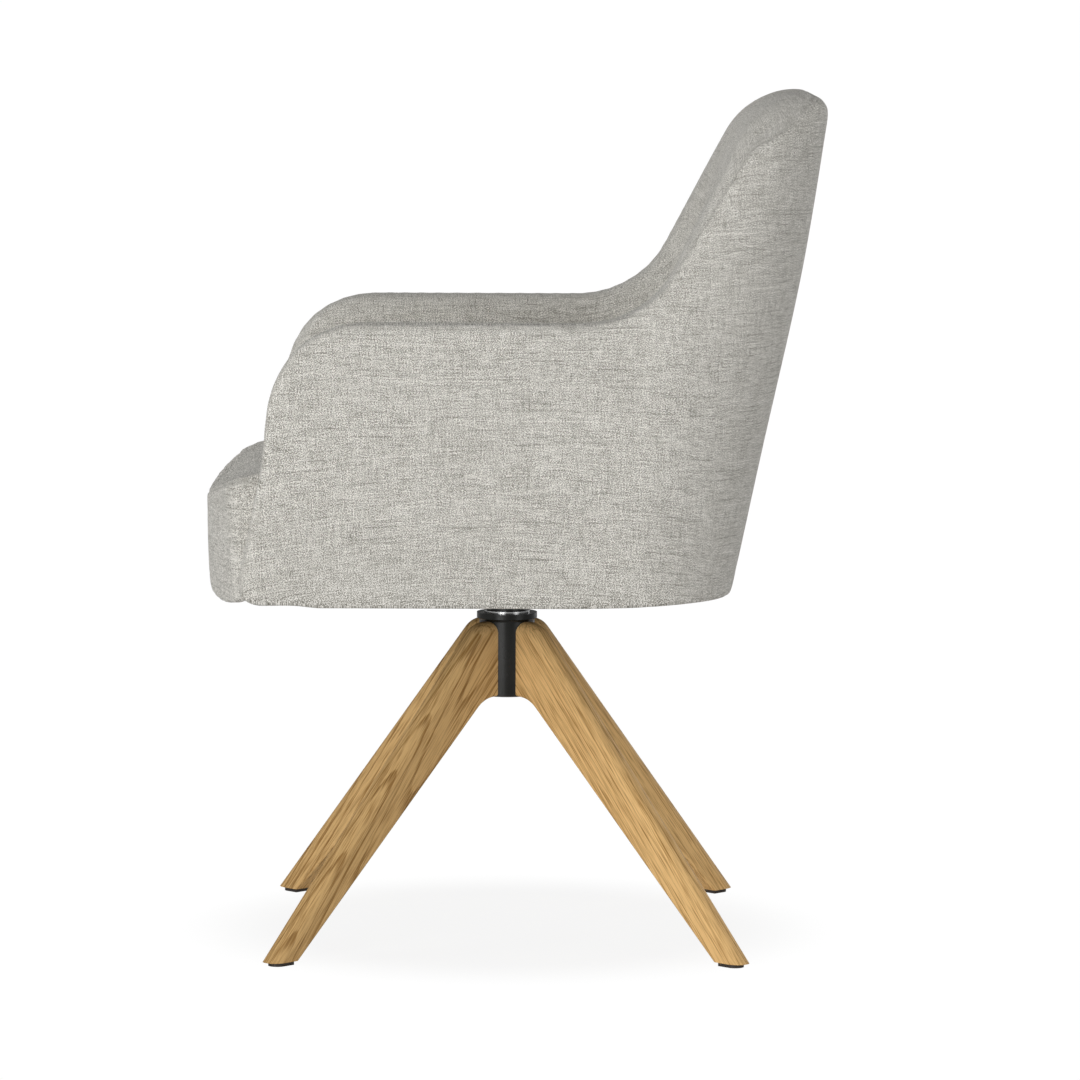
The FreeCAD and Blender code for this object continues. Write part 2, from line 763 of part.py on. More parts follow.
def make_tee_nuts(model):
    """Makes the four tee nuts let into the top of the board."""
    name = "board_tee_nuts"
    body = model.body(name)
    flange_low = "board_bottom + board_thickness - tee_nut_flange_height"
    barrels = model.sketch(body, name + "_barrels", "XY_Plane", "board_bottom + tee_nut_flange_height")
    flanges = model.sketch(body, name + "_flanges", "XY_Plane", flange_low)
    for across, along in bolt_places():
        for sketch, radius in ((barrels, "tee_nut_radius"), (flanges, "tee_nut_flange_radius")):
            model.circle(sketch, across, along, radius)
            model.circle(sketch, across, along, "plate_bolt_radius + part_gap")
    model.extrude(body, "Pad", name + "_sleeves", barrels, "board_thickness - 2 * tee_nut_flange_height")
    model.extrude(body, "Pad", name + "_rims", flanges, "tee_nut_flange_height")
    return model.keep(body, name)


def screw_places():
    """Gives the places of the screws that rise through the board into the tub frame."""
    side = "width_bottom - cover_thickness - soft_gap - screw_margin"
    rear = "rear_bottom - cover_thickness - soft_gap - screw_margin"
    places = []
    for share in SIDE_SCREW_SHARES:
        places.append((side, f"{share} * board_front"))
        places.append((f"-({side})", f"{share} * board_front"))
    for share in REAR_SCREW_SHARES:
        places.append((f"{share} * width_bottom", rear))
    return places


def make_frame_screws(model):
    """Makes the screws that hold the tub frame on the board."""
    name = "frame_screws"
    body = model.body(name)
    heads = model.sketch(body, name + "_heads", "XY_Plane", "board_bottom - screw_head_height")
    shanks = model.sketch(body, name + "_shanks", "XY_Plane", "board_bottom")
    for across, along in screw_places():
        model.circle(heads, across, along, "screw_head_radius")
        model.circle(shanks, across, along, "screw_radius")
    model.extrude(body, "Pad", name + "_heading", heads, "screw_head_height")
    model.extrude(body, "Pad", name + "_shanking", shanks, "screw_length")
    return model.keep(body, name)


def board_plan(margin):
    """Gives the outline of the board from above, drawn in by a margin."""
    width = f"width_bottom - cover_thickness - soft_gap - {margin}"
    rear = f"rear_bottom - cover_thickness - soft_gap - {margin}"
    front = f"board_front - {margin}"
    corner = f"corner_bottom - cover_thickness - soft_gap - {margin}"
    small = "board_corner_radius"
    return [
        (f"-({width}) + {small}", f"-({front})"),
        (f"{width} - {small}", f"-({front})", small, "left"),
        (width, f"-({front}) + {small}"),
        (width, f"{rear} - ({corner})", corner, "left"),
        (f"{width} - ({corner})", rear),
        (f"-({width}) + {corner}", rear, corner, "left"),
        (f"-({width})", f"{rear} - ({corner})"),
        (f"-({width})", f"-({front}) + {small}", small, "left"),
    ]


def make_bottom_board(model):
    """Makes the plywood board that carries the tub and the cushion."""
    name = "bottom_board"
    body = model.body(name)
    plan = model.sketch(body, name + "_plan", "XY_Plane", "board_bottom")
    model.outline(plan, board_plan("0"))
    model.extrude(body, "Pad", name + "_blank", plan, "board_thickness")
    holes = model.sketch(body, name + "_holes", "XY_Plane")
    sinks = model.sketch(body, name + "_sinks", "XY_Plane", "board_bottom + board_thickness")
    for across, along in bolt_places():
        model.circle(holes, across, along, "tee_nut_radius + part_gap")
        model.circle(sinks, across, along, "tee_nut_flange_radius + part_gap")
    for across, along in screw_places():
        model.circle(holes, across, along, "screw_radius + part_gap")
    through = "board_bottom + board_thickness + overrun"
    model.extrude(body, "Pocket", name + "_drilling", holes, through, reverse=True)
    model.extrude(body, "Pocket", name + "_sinking", sinks, "tee_nut_flange_height")
    return model.keep(body, name)


def make_dust_cover(model):
    """Makes the cloth sheet under the board, open round the seat plate."""
    name = "dust_cover"
    body = model.body(name)
    plan = model.sketch(body, name + "_plan", "XY_Plane", "board_bottom - dust_cover_thickness")
    model.outline(plan, board_plan("dust_cover_margin"))
    side = "plate_half_side + dust_cover_gap"
    model.outline(plan, rounded_box(side, side, side, "plate_corner_radius"))
    model.extrude(body, "Pad", name + "_sheet", plan, "dust_cover_thickness")
    return model.keep(body, name)


def tub_plan(level, inset):
    """Gives the outline of the tub from above at one height, drawn in by an inset."""
    width = f"width_{level} - ({inset})"
    rear = f"rear_{level} - ({inset})"
    corner = f"corner_{level} - ({inset})"
    front = "-cushion_nose - overrun"
    return [
        (f"-({width})", front),
        (width, front),
        (width, f"{rear} - ({corner})", corner, "left"),
        (f"{width} - ({corner})", rear),
        (f"-({width}) + {corner}", rear, corner, "left"),
        (f"-({width})", f"{rear} - ({corner})"),
    ]


def hollow_plan(level):
    """Gives the outline of the sitter's hollow from above at one height."""
    width = f"hollow_width_{level}"
    rear = f"hollow_rear_{level}"
    corner = "hollow_corner"
    front = "-cushion_nose - 2 * overrun"
    return [
        (f"-{width}", front),
        (width, front),
        (width, f"{rear} - {corner}", corner, "left"),
        (f"{width} - {corner}", rear),
        (f"-({width} - {corner})", rear, corner, "left"),
        (f"-{width}", f"{rear} - {corner}"),
    ]


def levels(model, body, name, corners):
    """Draws one outline at each of the tub's heights."""
    sketches = []
    for level in TUB_LEVELS:
        sketch = model.sketch(body, f"{name}_{level}", "XY_Plane", f"tub_{level}")
        sketches.append(model.outline(sketch, corners(level)))
    return sketches


def above_arms(inset, swell, drop):
    """Gives the side outline of all that lies in front of and above the arms and the back.

    The swell moves the top of the back's front edge forward and the drop moves it down.
    """
    lean = f"slope_lean_share * {inset}"
    dip = f"slope_dip_share * {inset}"
    front = "-cushion_nose - 2 * overrun"
    return [
        (front, "tub_bottom - overrun"),
        (f"-arm_front_foot + {inset}", "tub_bottom - overrun"),
        (f"-arm_front_foot + {inset}", "tub_bottom"),
        (f"-arm_front_head + {inset}", "tub_arm - arm_front_radius", f"arm_front_radius - {inset}", "right"),
        ("-arm_front_head + arm_front_radius", f"tub_arm - {inset}"),
        ("arm_sweep_start", f"tub_arm - {inset}", f"arm_sweep_radius + {inset}", "left"),
        (f"arm_sweep_end + {lean}", f"tub_arm + arm_sweep_rise - {dip}"),
        (f"back_edge_reach + {lean} - {swell}", f"back_edge_top - {dip} - {drop}",
         f"back_crown_radius - {inset}", "right"),
        ("back_crown_reach", f"tub_top - {inset}"),
        ("rear_top - rear_crown_run", f"tub_top - {inset}", f"rear_crown_radius - {inset}", "right"),
        (f"rear_top - rear_crown_lean - {inset}", "tub_top - rear_crown_drop"),
        ("rear_top + overrun", "tub_top - rear_crown_drop"),
        ("rear_top + overrun", "tub_top + 2 * overrun"),
        (front, "tub_top + 2 * overrun"),
    ]


def above_back(side_inset, inset):
    """Gives the front outline of all that lies above the round top corners of the back."""
    side = f"width_back - ({side_inset})"
    radius = f"top_corner_radius - {inset}"
    return [
        ("-width_seat - overrun", "tub_back"),
        (f"-({side})", "tub_back", radius, "right"),
        ("-top_flat_half", f"tub_top - {inset}"),
        ("top_flat_half", f"tub_top - {inset}", radius, "right"),
        (side, "tub_back"),
        ("width_seat + overrun", "tub_back"),
        ("width_seat + overrun", "tub_top + 2 * overrun"),
        ("-width_seat - overrun", "tub_top + 2 * overrun"),
    ]


def trim_tub(model, body, name, side_inset, inset, swell="0", drop="0"):
    """Cuts a layer of the tub along the arms and the back, and round its top corners."""
    side = model.outline(model.sketch(body, name + "_arm_line", "YZ_Plane"), above_arms(inset, swell, drop))
    width = "2 * (width_seat + overrun)"
    model.extrude(body, "Pocket", name + "_arm_cut", side, width, symmetric=True)
    front = model.outline(model.sketch(body, name + "_top_line", "XZ_Plane"), above_back(side_inset, inset))
    depth = "2 * (rear_top + overrun)"
    model.extrude(body, "Pocket", name + "_top_cut", front, depth, symmetric=True)


def trim_foot(model, body, name, height):
    """Cuts all of a layer of the tub that lies below a height."""
    reach = "cushion_nose + 3 * overrun"
    plan = model.sketch(body, name + "_foot", "XY_Plane", height)
    model.outline(plan, [
        (f"-({reach})", f"-({reach})"),
        (reach, f"-({reach})"),
        (reach, reach),
        (f"-({reach})", reach),
    ])
    model.extrude(body, "Pocket", name + "_foot_cut", plan, height)


def make_layer(model, name, outer, inner, inset):
    """Makes one layer of the tub between two insets from its outside."""
    body = model.body(name)
    outside = levels(model, body, name + "_outside", lambda level: tub_plan(level, outer))
    model.loft(body, "AdditiveLoft", name + "_block", outside)
    inside = levels(model, body, name + "_inside", lambda level: tub_plan(level, inner))
    model.loft(body, "SubtractiveLoft", name + "_core", inside)
    trim_tub(model, body, name, outer, inset)
    return body


def make_tub_cover(model):
    """Makes the padded fabric panel round the outside of the tub."""
    body = make_layer(model, "tub_cover", "0", "cover_thickness", "0")
    return model.keep(body, "tub_cover")


def make_tub_frame(model):
    """Makes the moulded shell that stands on the board between cover and padding."""
    name = "tub_frame"
    body = make_layer(model, name, "cover_thickness + soft_gap",
                      "cover_thickness + soft_gap + frame_thickness", "frame_inset")
    trim_foot(model, body, name, "board_bottom + board_thickness")
    holes = model.sketch(body, name + "_holes", "XY_Plane")
    for across, along in screw_places():
        model.circle(holes, across, along, "screw_radius + part_gap")
    depth = "board_bottom + screw_length + part_gap"
    model.extrude(body, "Pocket", name + "_drilling", holes, depth, reverse=True)
    return model.keep(body, name)


def make_tub_padding(model):
    """Makes the foam and inner fabric of the arms and the back."""
    name = "tub_padding"
    body = model.body(name)
    inset = "cover_thickness + 2 * soft_gap + frame_thickness"
    outside = levels(model, body, name + "_outside", lambda level: tub_plan(level, inset))
    model.loft(body, "AdditiveLoft", name + "_block", outside)
    inside = levels(model, body, name + "_inside", hollow_plan)
    model.loft(body, "SubtractiveLoft", name + "_hollow", inside)
    trim_tub(model, body, name, inset, "0", "back_swell", "back_swell_drop")
    trim_foot(model, body, name, "board_bottom + board_thickness + soft_gap")

    near = model.value("hollow_width_arm") - NEAR
    far = model.value("hollow_width_seat") + NEAR
    low = model.value("tub_arm - arm_front_radius")
    high = model.value("tub_arm") + NEAR
    model.fillet(body, name + "_rounding", "arm_inner_round",
                 lambda middle, edge: near < abs(middle.x) < far and low < middle.z < high)
    return model.keep(body, name)


def make_edge_roll(model):
    """Makes the foam roll on the rim of the frame, between the cover and the padding."""
    name = "edge_roll"
    outer = "cover_thickness + soft_gap"
    inner = "cover_thickness + soft_gap + frame_thickness"
    rim = make_layer(model, name + "_rim", outer, inner, "0")
    trim_foot(model, rim, name + "_rim", "board_bottom + board_thickness + soft_gap")
    below = make_layer(model, name + "_below", "cover_thickness", inner + " + soft_gap",
                       "(frame_inset - soft_gap)")
    roll = model.doc.addObject("Part::Cut", name)
    roll.Base = rim
    roll.Tool = below
    model.doc.recompute()
    return model.keep(roll, name)


def cushion_plan(tuck):
    """Gives the outline of the seat cushion from above, with its nose drawn in by a tuck."""
    width = "cushion_half_width"
    reach = "cushion_corner_reach"
    nose = f"cushion_nose - {tuck}"
    shoulder = f"-cushion_shoulder + {tuck}"
    corner_y = f"-({nose}) + cushion_nose_radius - sqrt(cushion_nose_radius ^ 2 - {reach} ^ 2)"
    return [
        (f"-{reach}", corner_y, "cushion_nose_radius", "left"),
        (reach, corner_y, "cushion_corner_radius", "left"),
        (width, shoulder),
        (width, "cushion_rear - hollow_corner", "hollow_corner", "left"),
        (f"{width} - hollow_corner", "cushion_rear"),
        (f"-({width} - hollow_corner)", "cushion_rear", "hollow_corner", "left"),
        (f"-{width}", "cushion_rear - hollow_corner"),
        (f"-{width}", shoulder, "cushion_corner_radius", "left"),
    ]


def above_cushion(centre, side):
    """Gives a section of all that lies above the dished top of the cushion."""
    reach = "(cushion_half_width + overrun)"
    sag = f"(({side}) - ({centre}))"
    return [
        (f"-{reach}", side, f"({reach} ^ 2 + {sag} ^ 2) / (2 * {sag})", "left"),
        (reach, side),
        (reach, "tub_arm"),
        (f"-{reach}", "tub_arm"),
    ]


def make_seat_cushion(model):
    """Makes the seat cushion: a dished top, a bowed nose and an apron in front of the board."""
    name = "seat_cushion"
    body = model.body(name)
    low = model.sketch(body, name + "_low", "XY_Plane", "cushion_bottom")
    high = model.sketch(body, name + "_high", "XY_Plane", "tub_seat")
    model.outline(low, cushion_plan("cushion_tuck"))
    model.outline(high, cushion_plan("0"))
    model.loft(body, "AdditiveLoft", name + "_block", [low, high])
    tops = []
    fall = "overrun / 3"
    for label, lift, centre, side in (
        ("front", "cushion_nose + overrun / 2", f"nose_centre_height - {fall}", f"nose_side_height - {fall}"),
        ("nose", "cushion_nose", "nose_centre_height", "nose_side_height"),
        ("brow", "brow_reach", "brow_centre_height", "brow_side_height"),
        ("crown", "crown_reach", "crown_centre_height", "crown_side_height"),
        ("lap", "lap_reach", "lap_centre_height", "lap_side_height"),
        ("hip", "hip_reach", "hip_centre_height", "hip_side_height"),
        ("rear", "-cushion_rear - overrun", "rear_centre_height", "rear_side_height"),
    ):
        sketch = model.sketch(body, f"{name}_{label}", "XZ_Plane", lift)
        tops.append(model.outline(sketch, above_cushion(centre, side)))
    model.loft(body, "SubtractiveLoft", name + "_dish", tops)
    step = model.sketch(body, name + "_step", "XY_Plane")
    reach = "cushion_half_width + overrun"
    model.outline(step, [
        (f"-({reach})", "-board_front - soft_gap"),
        (reach, "-board_front - soft_gap"),
        (reach, "cushion_rear + overrun"),
        (f"-({reach})", "cushion_rear + overrun"),
    ])
    height = "board_bottom + board_thickness + soft_gap"
    model.extrude(body, "Pocket", name + "_step_cut", step, height, reverse=True)

    foot = model.value("cushion_bottom")
    behind = model.value("-board_front - soft_gap") - NEAR
    model.fillet(body, name + "_foot", "cushion_foot_round",
                 lambda middle, edge: abs(middle.z - foot) < NEAR and middle.y < behind)
    return model.keep(body, name)


def check(model):
    """Stops the run if any object failed or any sub-part has no sound shape."""
    failed = [item.Name for item in model.doc.Objects if {"Invalid", "Error"} & set(item.State)]
    if failed:
        raise RuntimeError("failed: " + ", ".join(failed))
    for part in model.parts:
        if part.Shape.isNull() or not part.Shape.isValid():
            raise RuntimeError(f"{part.Label} has no sound shape")


def main():
    model = Model("swivel_chair")
    make_hub_column(model)
    for name, turn in LEG_TURNS.items():
        make_leg(model, name, turn)
        make_glide(model, name.replace("leg", "glide"), turn)
    make_glide_nails(model)
    make_leg_inserts(model)
    make_leg_washers(model)
    make_leg_bolts(model)
    make_bush_parts(model)
    make_bearing(model)
    make_spindle_parts(model)
    make_seat_plate(model)
    make_plate_bolts(model)
    make_tee_nuts(model)
    make_frame_screws(model)
    make_bottom_board(model)
    make_dust_cover(model)
    make_tub_cover(model)
    make_tub_frame(model)
    make_edge_roll(model)
    make_tub_padding(model)
    make_seat_cushion(model)
    model.doc.recompute()
    check(model)
    os.makedirs("parts", exist_ok=True)
    for part in model.parts:
        part.Shape.exportStep(f"parts/{part.Label}.step")
        print(f"{part.Label}: {len(part.Shape.Solids)} solids, volume {part.Shape.Volume:.0f} mm3")


main()
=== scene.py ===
"""Dresses the swivel armchair: upholstery, oak legs, black steel, floor, light and camera."""

import json
import logging
import math
from dataclasses import dataclass
from enum import Enum
from typing import Callable

import bpy
import numpy as np
from mathutils import Matrix, Vector
from mathutils.bvhtree import BVHTree

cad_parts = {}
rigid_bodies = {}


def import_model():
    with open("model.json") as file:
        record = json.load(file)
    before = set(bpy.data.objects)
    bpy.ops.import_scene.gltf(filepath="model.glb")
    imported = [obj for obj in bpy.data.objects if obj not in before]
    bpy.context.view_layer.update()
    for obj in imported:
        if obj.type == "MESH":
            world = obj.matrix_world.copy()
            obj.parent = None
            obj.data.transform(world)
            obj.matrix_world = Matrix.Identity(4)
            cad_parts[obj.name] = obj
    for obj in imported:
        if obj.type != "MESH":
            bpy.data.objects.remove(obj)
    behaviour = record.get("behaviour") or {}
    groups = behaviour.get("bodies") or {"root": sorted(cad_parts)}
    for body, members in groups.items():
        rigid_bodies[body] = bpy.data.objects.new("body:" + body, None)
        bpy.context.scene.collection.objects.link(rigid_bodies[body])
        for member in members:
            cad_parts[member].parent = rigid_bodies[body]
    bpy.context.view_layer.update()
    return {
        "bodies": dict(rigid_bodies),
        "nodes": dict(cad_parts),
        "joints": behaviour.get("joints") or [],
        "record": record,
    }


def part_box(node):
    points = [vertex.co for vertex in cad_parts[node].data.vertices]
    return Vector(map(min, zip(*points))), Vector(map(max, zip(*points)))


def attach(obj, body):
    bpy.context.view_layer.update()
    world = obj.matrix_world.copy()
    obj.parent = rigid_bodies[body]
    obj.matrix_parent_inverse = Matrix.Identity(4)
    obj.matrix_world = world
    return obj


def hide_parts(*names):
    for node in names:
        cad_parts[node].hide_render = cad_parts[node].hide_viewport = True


LOG = logging.getLogger("armchair")

Colour = tuple[float, float, float]
Point = tuple[float, float, float]
Span = tuple[float, float]
Zone = tuple[tuple[int, float, float], ...]

X, Y, Z = range(3)
WEIGHT_STEPS = 20
SAME_PLACE = 0.00002
CLOTH_FRAMES = 20


# Plain tools on meshes


def deselect() -> None:
    """Leaves every object deselected and none being edited."""
    if bpy.context.object and bpy.context.object.mode != "OBJECT":
        bpy.ops.object.mode_set(mode="OBJECT")
    bpy.ops.object.select_all(action="DESELECT")


def pick(piece: bpy.types.Object) -> None:
    """Selects one object alone and makes it the active one.

    Args:
        piece: The object.
    """
    deselect()
    piece.select_set(True)
    bpy.context.view_layer.objects.active = piece


def finish_modifier(piece: bpy.types.Object, kind: str, **settings: object) -> None:
    """Adds a modifier to a piece and applies it.

    Args:
        piece: The object to shape.
        kind: Blender's type of the modifier.
        settings: The modifier's settings by name.
    """
    pick(piece)
    modifier = piece.modifiers.new(kind.title(), kind)
    for name, setting in settings.items():
        setattr(modifier, name, setting)
    bpy.ops.object.modifier_apply(modifier=modifier.name)


def places(piece: bpy.types.Object) -> np.ndarray:
    """Reads the places of a piece's vertices.

    Args:
        piece: The object.

    Returns:
        One row of x, y and z for each vertex.
    """
    found = np.empty(len(piece.data.vertices) * 3, np.float32)
    piece.data.vertices.foreach_get("co", found)
    return found.reshape(-1, 3).astype(float)


def normals(piece: bpy.types.Object) -> np.ndarray:
    """Reads the normals of a piece's vertices.

    Args:
        piece: The object.

    Returns:
        One row of x, y and z for each vertex.
    """
    found = np.empty(len(piece.data.vertices) * 3, np.float32)
    piece.data.vertices.foreach_get("normal", found)
    return found.reshape(-1, 3).astype(float)


def move_to(piece: bpy.types.Object, spots: np.ndarray) -> None:
    """Puts a piece's vertices at the places given."""
    piece.data.vertices.foreach_set("co", spots.astype(np.float32).ravel())
    piece.data.update()


def ramp(values: np.ndarray, low: float, high: float) -> np.ndarray:
    """Rises smoothly from 0 at low to 1 at high.

    Args:
        values: The numbers to read.
        low: Where the rise starts.
        high: Where the rise ends, which may lie below low.

    Returns:
        One number from 0 to 1 for each value.
    """
    share = np.clip((values - low) / (high - low), 0, 1)
    return share * share * (3 - 2 * share)


def within(spots: np.ndarray, zone: Zone) -> np.ndarray:
    """Tells how far places lie in a zone with soft edges.

    Args:
        spots: Rows of x, y and z.
        zone: The zone's edges, each with its axis, where it starts and where it is full.

    Returns:
        One number for each place, from 0 outside the zone to 1 past all of its edges.
    """
    share = np.ones(len(spots))
    for axis, low, high in zone:
        share = share * ramp(spots[:, axis], low, high)
    return share


def level(spots: np.ndarray, height: float) -> np.ndarray:
    """Copies points onto one level."""
    return np.column_stack([spots[:, X], spots[:, Y], np.full(len(spots), height)])


def put_group(piece: bpy.types.Object, name: str, weights: np.ndarray) -> None:
    """Gives a piece a vertex group with one weight for each vertex.

    Args:
        piece: The object that gets the group.
        name: The group's name.
        weights: A number from 0 to 1 for each vertex.
    """
    group = piece.vertex_groups.new(name=name)
    steps = np.round(weights * WEIGHT_STEPS).astype(int)
    for step in range(1, WEIGHT_STEPS + 1):
        members = np.nonzero(steps == step)[0]
        if len(members):
            group.add(members.tolist(), step / WEIGHT_STEPS, "REPLACE")


def put_attribute(piece: bpy.types.Object, name: str, kind: str, values: np.ndarray) -> None:
    """Stores values on a piece's vertices for its material to read.

    Args:
        piece: The object that carries them.
        name: The attribute's name.
        kind: FLOAT or FLOAT_VECTOR.
        values: One number or one row of three for each vertex.
    """
    attribute = piece.data.attributes.new(name, kind, "POINT")
    field = "vector" if kind == "FLOAT_VECTOR" else "value"
    attribute.data.foreach_set(field, values.astype(np.float32).ravel())


def merged_copy(name: str, nodes: list[str], frame: dict) -> bpy.types.Object:
    """Copies solids of the frame into one new object with its doubles merged.

    Args:
        name: The new object's name.
        nodes: The names of the solids.

    Returns:
        The new object, at the origin.
    """
    copies = []
    for node in nodes:
        mesh = frame["nodes"][node].data.copy()
        mesh.materials.clear()
        copy = bpy.data.objects.new(f"{name}_{node}", mesh)
        bpy.context.scene.collection.objects.link(copy)
        copies.append(copy)
    deselect()
    for copy in copies:
        copy.select_set(True)
    bpy.context.view_layer.objects.active = copies[0]
    if len(copies) > 1:
        bpy.ops.object.join()
    piece = bpy.context.view_layer.objects.active
    piece.name = name
    piece.data.name = name
    bpy.ops.object.mode_set(mode="EDIT")
    bpy.ops.mesh.select_all(action="SELECT")
    bpy.ops.mesh.remove_doubles(threshold=SAME_PLACE)
    bpy.ops.object.mode_set(mode="OBJECT")
    return piece


def inset_from(
    node: bpy.types.Object, keep: Callable[[Vector, Vector], bool], spots: np.ndarray
) -> np.ndarray:
    """Measures how far points lie from some faces of a solid.

    Args:
        node: The solid.
        keep: A test on a face's middle and its normal, true for the faces that count.
        spots: The points.

    Returns:
        One distance in metres for each point.
    """
    corners = [tuple(vertex.co) for vertex in node.data.vertices]
    faces = [tuple(face.vertices) for face in node.data.polygons if keep(face.center, face.normal)]
    tree = BVHTree.FromPolygons(corners, faces)
    return np.array([tree.find_nearest(Vector(spot))[3] for spot in spots])


# Shader nodes


class Channel:
    """One output of a shader node, used in sums like a number."""

    def __init__(self, graph: "Graph", socket: bpy.types.NodeSocket) -> None:
        """Keeps the socket and the graph that it belongs to."""
        self.graph = graph
        self.socket = socket

    def _math(self, operation: str, *values: object) -> "Channel":
        """Adds a Math node on these values and returns its result."""
        made = self.graph.node("ShaderNodeMath", {"operation": operation}, dict(enumerate(values)))
        return Channel(self.graph, made.outputs[0])

    def __add__(self, other: object) -> "Channel":
        """Adds."""
        return self._math("ADD", self, other)

    def __radd__(self, other: object) -> "Channel":
        """Adds with the number on the left."""
        return self._math("ADD", other, self)

    def __sub__(self, other: object) -> "Channel":
        """Takes away."""
        return self._math("SUBTRACT", self, other)

    def __rsub__(self, other: object) -> "Channel":
        """Takes this away from a number."""
        return self._math("SUBTRACT", other, self)

    def __mul__(self, other: object) -> "Channel":
        """Multiplies."""
        return self._math("MULTIPLY", self, other)

    def __truediv__(self, other: object) -> "Channel":
        """Divides."""
        return self._math("DIVIDE", self, other)

    def floor(self) -> "Channel":
        """Rounds down."""
        return self._math("FLOOR", self)

    def part(self) -> "Channel":
        """Keeps what lies past the last whole number."""
        return self._math("FRACT", self)

    def sine(self) -> "Channel":
        """Takes the sine."""
        return self._math("SINE", self)

    def size(self) -> "Channel":
        """Drops the sign."""
        return self._math("ABSOLUTE", self)

    def root(self) -> "Channel":
        """Takes the square root."""
        return self._math("SQRT", self)

    def modulo(self, step: float) -> "Channel":
        """Gives what is left after whole steps."""
        return self._math("FLOORED_MODULO", self, step)

    def above(self, low: float, high: float) -> "Channel":
        """Rises smoothly from 0 at low to 1 at high.

        Args:
            low: Where the rise starts.
            high: Where the rise ends.

        Returns:
            The share, from 0 to 1.
        """
        made = self.graph.node(
            "ShaderNodeMapRange",
            {"interpolation_type": "SMOOTHSTEP"},
            {"Value": self, "From Min": low, "From Max": high},
        )
        return Channel(self.graph, made.outputs[0])


class Graph:
    """A node tree, with one method that adds nodes and short forms for the usual ones."""

    def __init__(self, tree: bpy.types.NodeTree) -> None:
        """Keeps the tree."""
        self.tree = tree

    def find(self, kind: str) -> bpy.types.Node:
        """Finds the first node of a type."""
        return next(node for node in self.tree.nodes if node.type == kind)

    def node(self, kind: str, settings: dict, inputs: dict) -> bpy.types.Node:
        """Adds a node, sets it up and then fills its sockets.

        Args:
            kind: Blender's name of the node's type.
            settings: The node's own settings by name.
            inputs: A value, a Channel or a socket for each input, by name or number.

        Returns:
            The node.
        """
        made = self.tree.nodes.new(kind)
        for name, setting in settings.items():
            setattr(made, name, setting)
        for key, value in inputs.items():
            self.feed(made.inputs[key], value)
        return made

    def feed(self, socket: bpy.types.NodeSocket, value: object) -> None:
        """Links a Channel or a socket to an input, or sets the input's own value.

        Args:
            socket: The input.
            value: A Channel, a socket or a constant.
        """
        if isinstance(value, Channel):
            value = value.socket
        if isinstance(value, bpy.types.NodeSocket):
            self.tree.links.new(value, socket)
        elif isinstance(value, tuple) and len(value) == 3 and socket.type == "RGBA":
            socket.default_value = (*value, 1)
        else:
            socket.default_value = value

    def axes(self, vector: bpy.types.NodeSocket) -> tuple[Channel, Channel, Channel]:
        """Splits a vector into its three numbers."""
        made = self.node("ShaderNodeSeparateXYZ", {}, {0: vector})
        return tuple(Channel(self, output) for output in made.outputs)

    def attribute(self, name: str) -> bpy.types.Node:
        """Reads an attribute of the mesh."""
        return self.node("ShaderNodeAttribute", {"attribute_name": name}, {})

    def turned(self, vector: bpy.types.NodeSocket, turn: Point) -> bpy.types.NodeSocket:
        """Turns a vector by angles about X, Y and Z."""
        settings = {"vector_type": "POINT"}
        return self.node("ShaderNodeMapping", settings, {"Vector": vector, "Rotation": turn}).outputs[0]

    def object_place(self, turn: Point = (0, 0, 0)) -> bpy.types.NodeSocket:
        """Gives the place on the piece, turned by angles about X, Y and Z."""
        return self.turned(self.node("ShaderNodeTexCoord", {}, {}).outputs["Object"], turn)

    def noise(self, across: object, along: object, deep: object = 0.0, detail: float = 2.0) -> Channel:
        """Adds a Noise texture on three numbers.

        Args:
            across: The first number, already scaled.
            along: The second number, already scaled.
            deep: The third number, already scaled.
            detail: How many finer layers the noise gets.

        Returns:
            The noise from 0 to 1, with its middle at 0.5.
        """
        vector = self.node("ShaderNodeCombineXYZ", {}, {0: across, 1: along, 2: deep})
        made = self.node(
            "ShaderNodeTexNoise",
            {"noise_dimensions": "3D"},
            {"Vector": vector.outputs[0], "Scale": 1.0, "Detail": detail, "Roughness": 0.5},
        )
        return Channel(self, made.outputs[0])

    def blend(self, share: object, first: object, second: object) -> bpy.types.NodeSocket:
        """Mixes two colours.

        Args:
            share: How much of the second colour shows, from 0 to 1.
            first: The first colour.
            second: The second colour.

        Returns:
            The mixed colour's socket.
        """
        settings = {"data_type": "RGBA", "clamp_factor": True}
        return self.node("ShaderNodeMix", settings, {0: share, 6: first, 7: second}).outputs[2]


class MaterialGraph(Graph):
    """The node tree of one new material, with its Principled shader."""

    def __init__(self, name: str) -> None:
        """Makes the material and finds its shader and its output.

        Args:
            name: The material's name.
        """
        self.material = bpy.data.materials.new(name)
        self.material.use_nodes = True
        super().__init__(self.material.node_tree)
        self.shader = self.find("BSDF_PRINCIPLED")
        self.output = self.find("OUTPUT_MATERIAL")

    def surface(self, colour: object, roughness: object, constants: dict | None = None) -> None:
        """Feeds the shader.

        Args:
            colour: The colour, a socket or a constant.
            roughness: The roughness, a Channel or a constant.
            constants: Other inputs' values by their names.
        """
        self.feed(self.shader.inputs["Base Color"], colour)
        self.feed(self.shader.inputs["Roughness"], roughness)
        for name, value in (constants or {}).items():
            self.feed(self.shader.inputs[name], value)

    def relief(self, height: Channel, depth: float, strength: float) -> None:
        """Feeds the shader's normal from a height.

        Args:
            height: The height from 0 to 1.
            depth: What a height of 1 is, in metres.
            strength: How strongly the relief shows.
        """
        bump = self.node("ShaderNodeBump", {}, {"Strength": strength, "Distance": depth, "Height": height})
        self.feed(self.shader.inputs["Normal"], bump.outputs["Normal"])


# Finishes


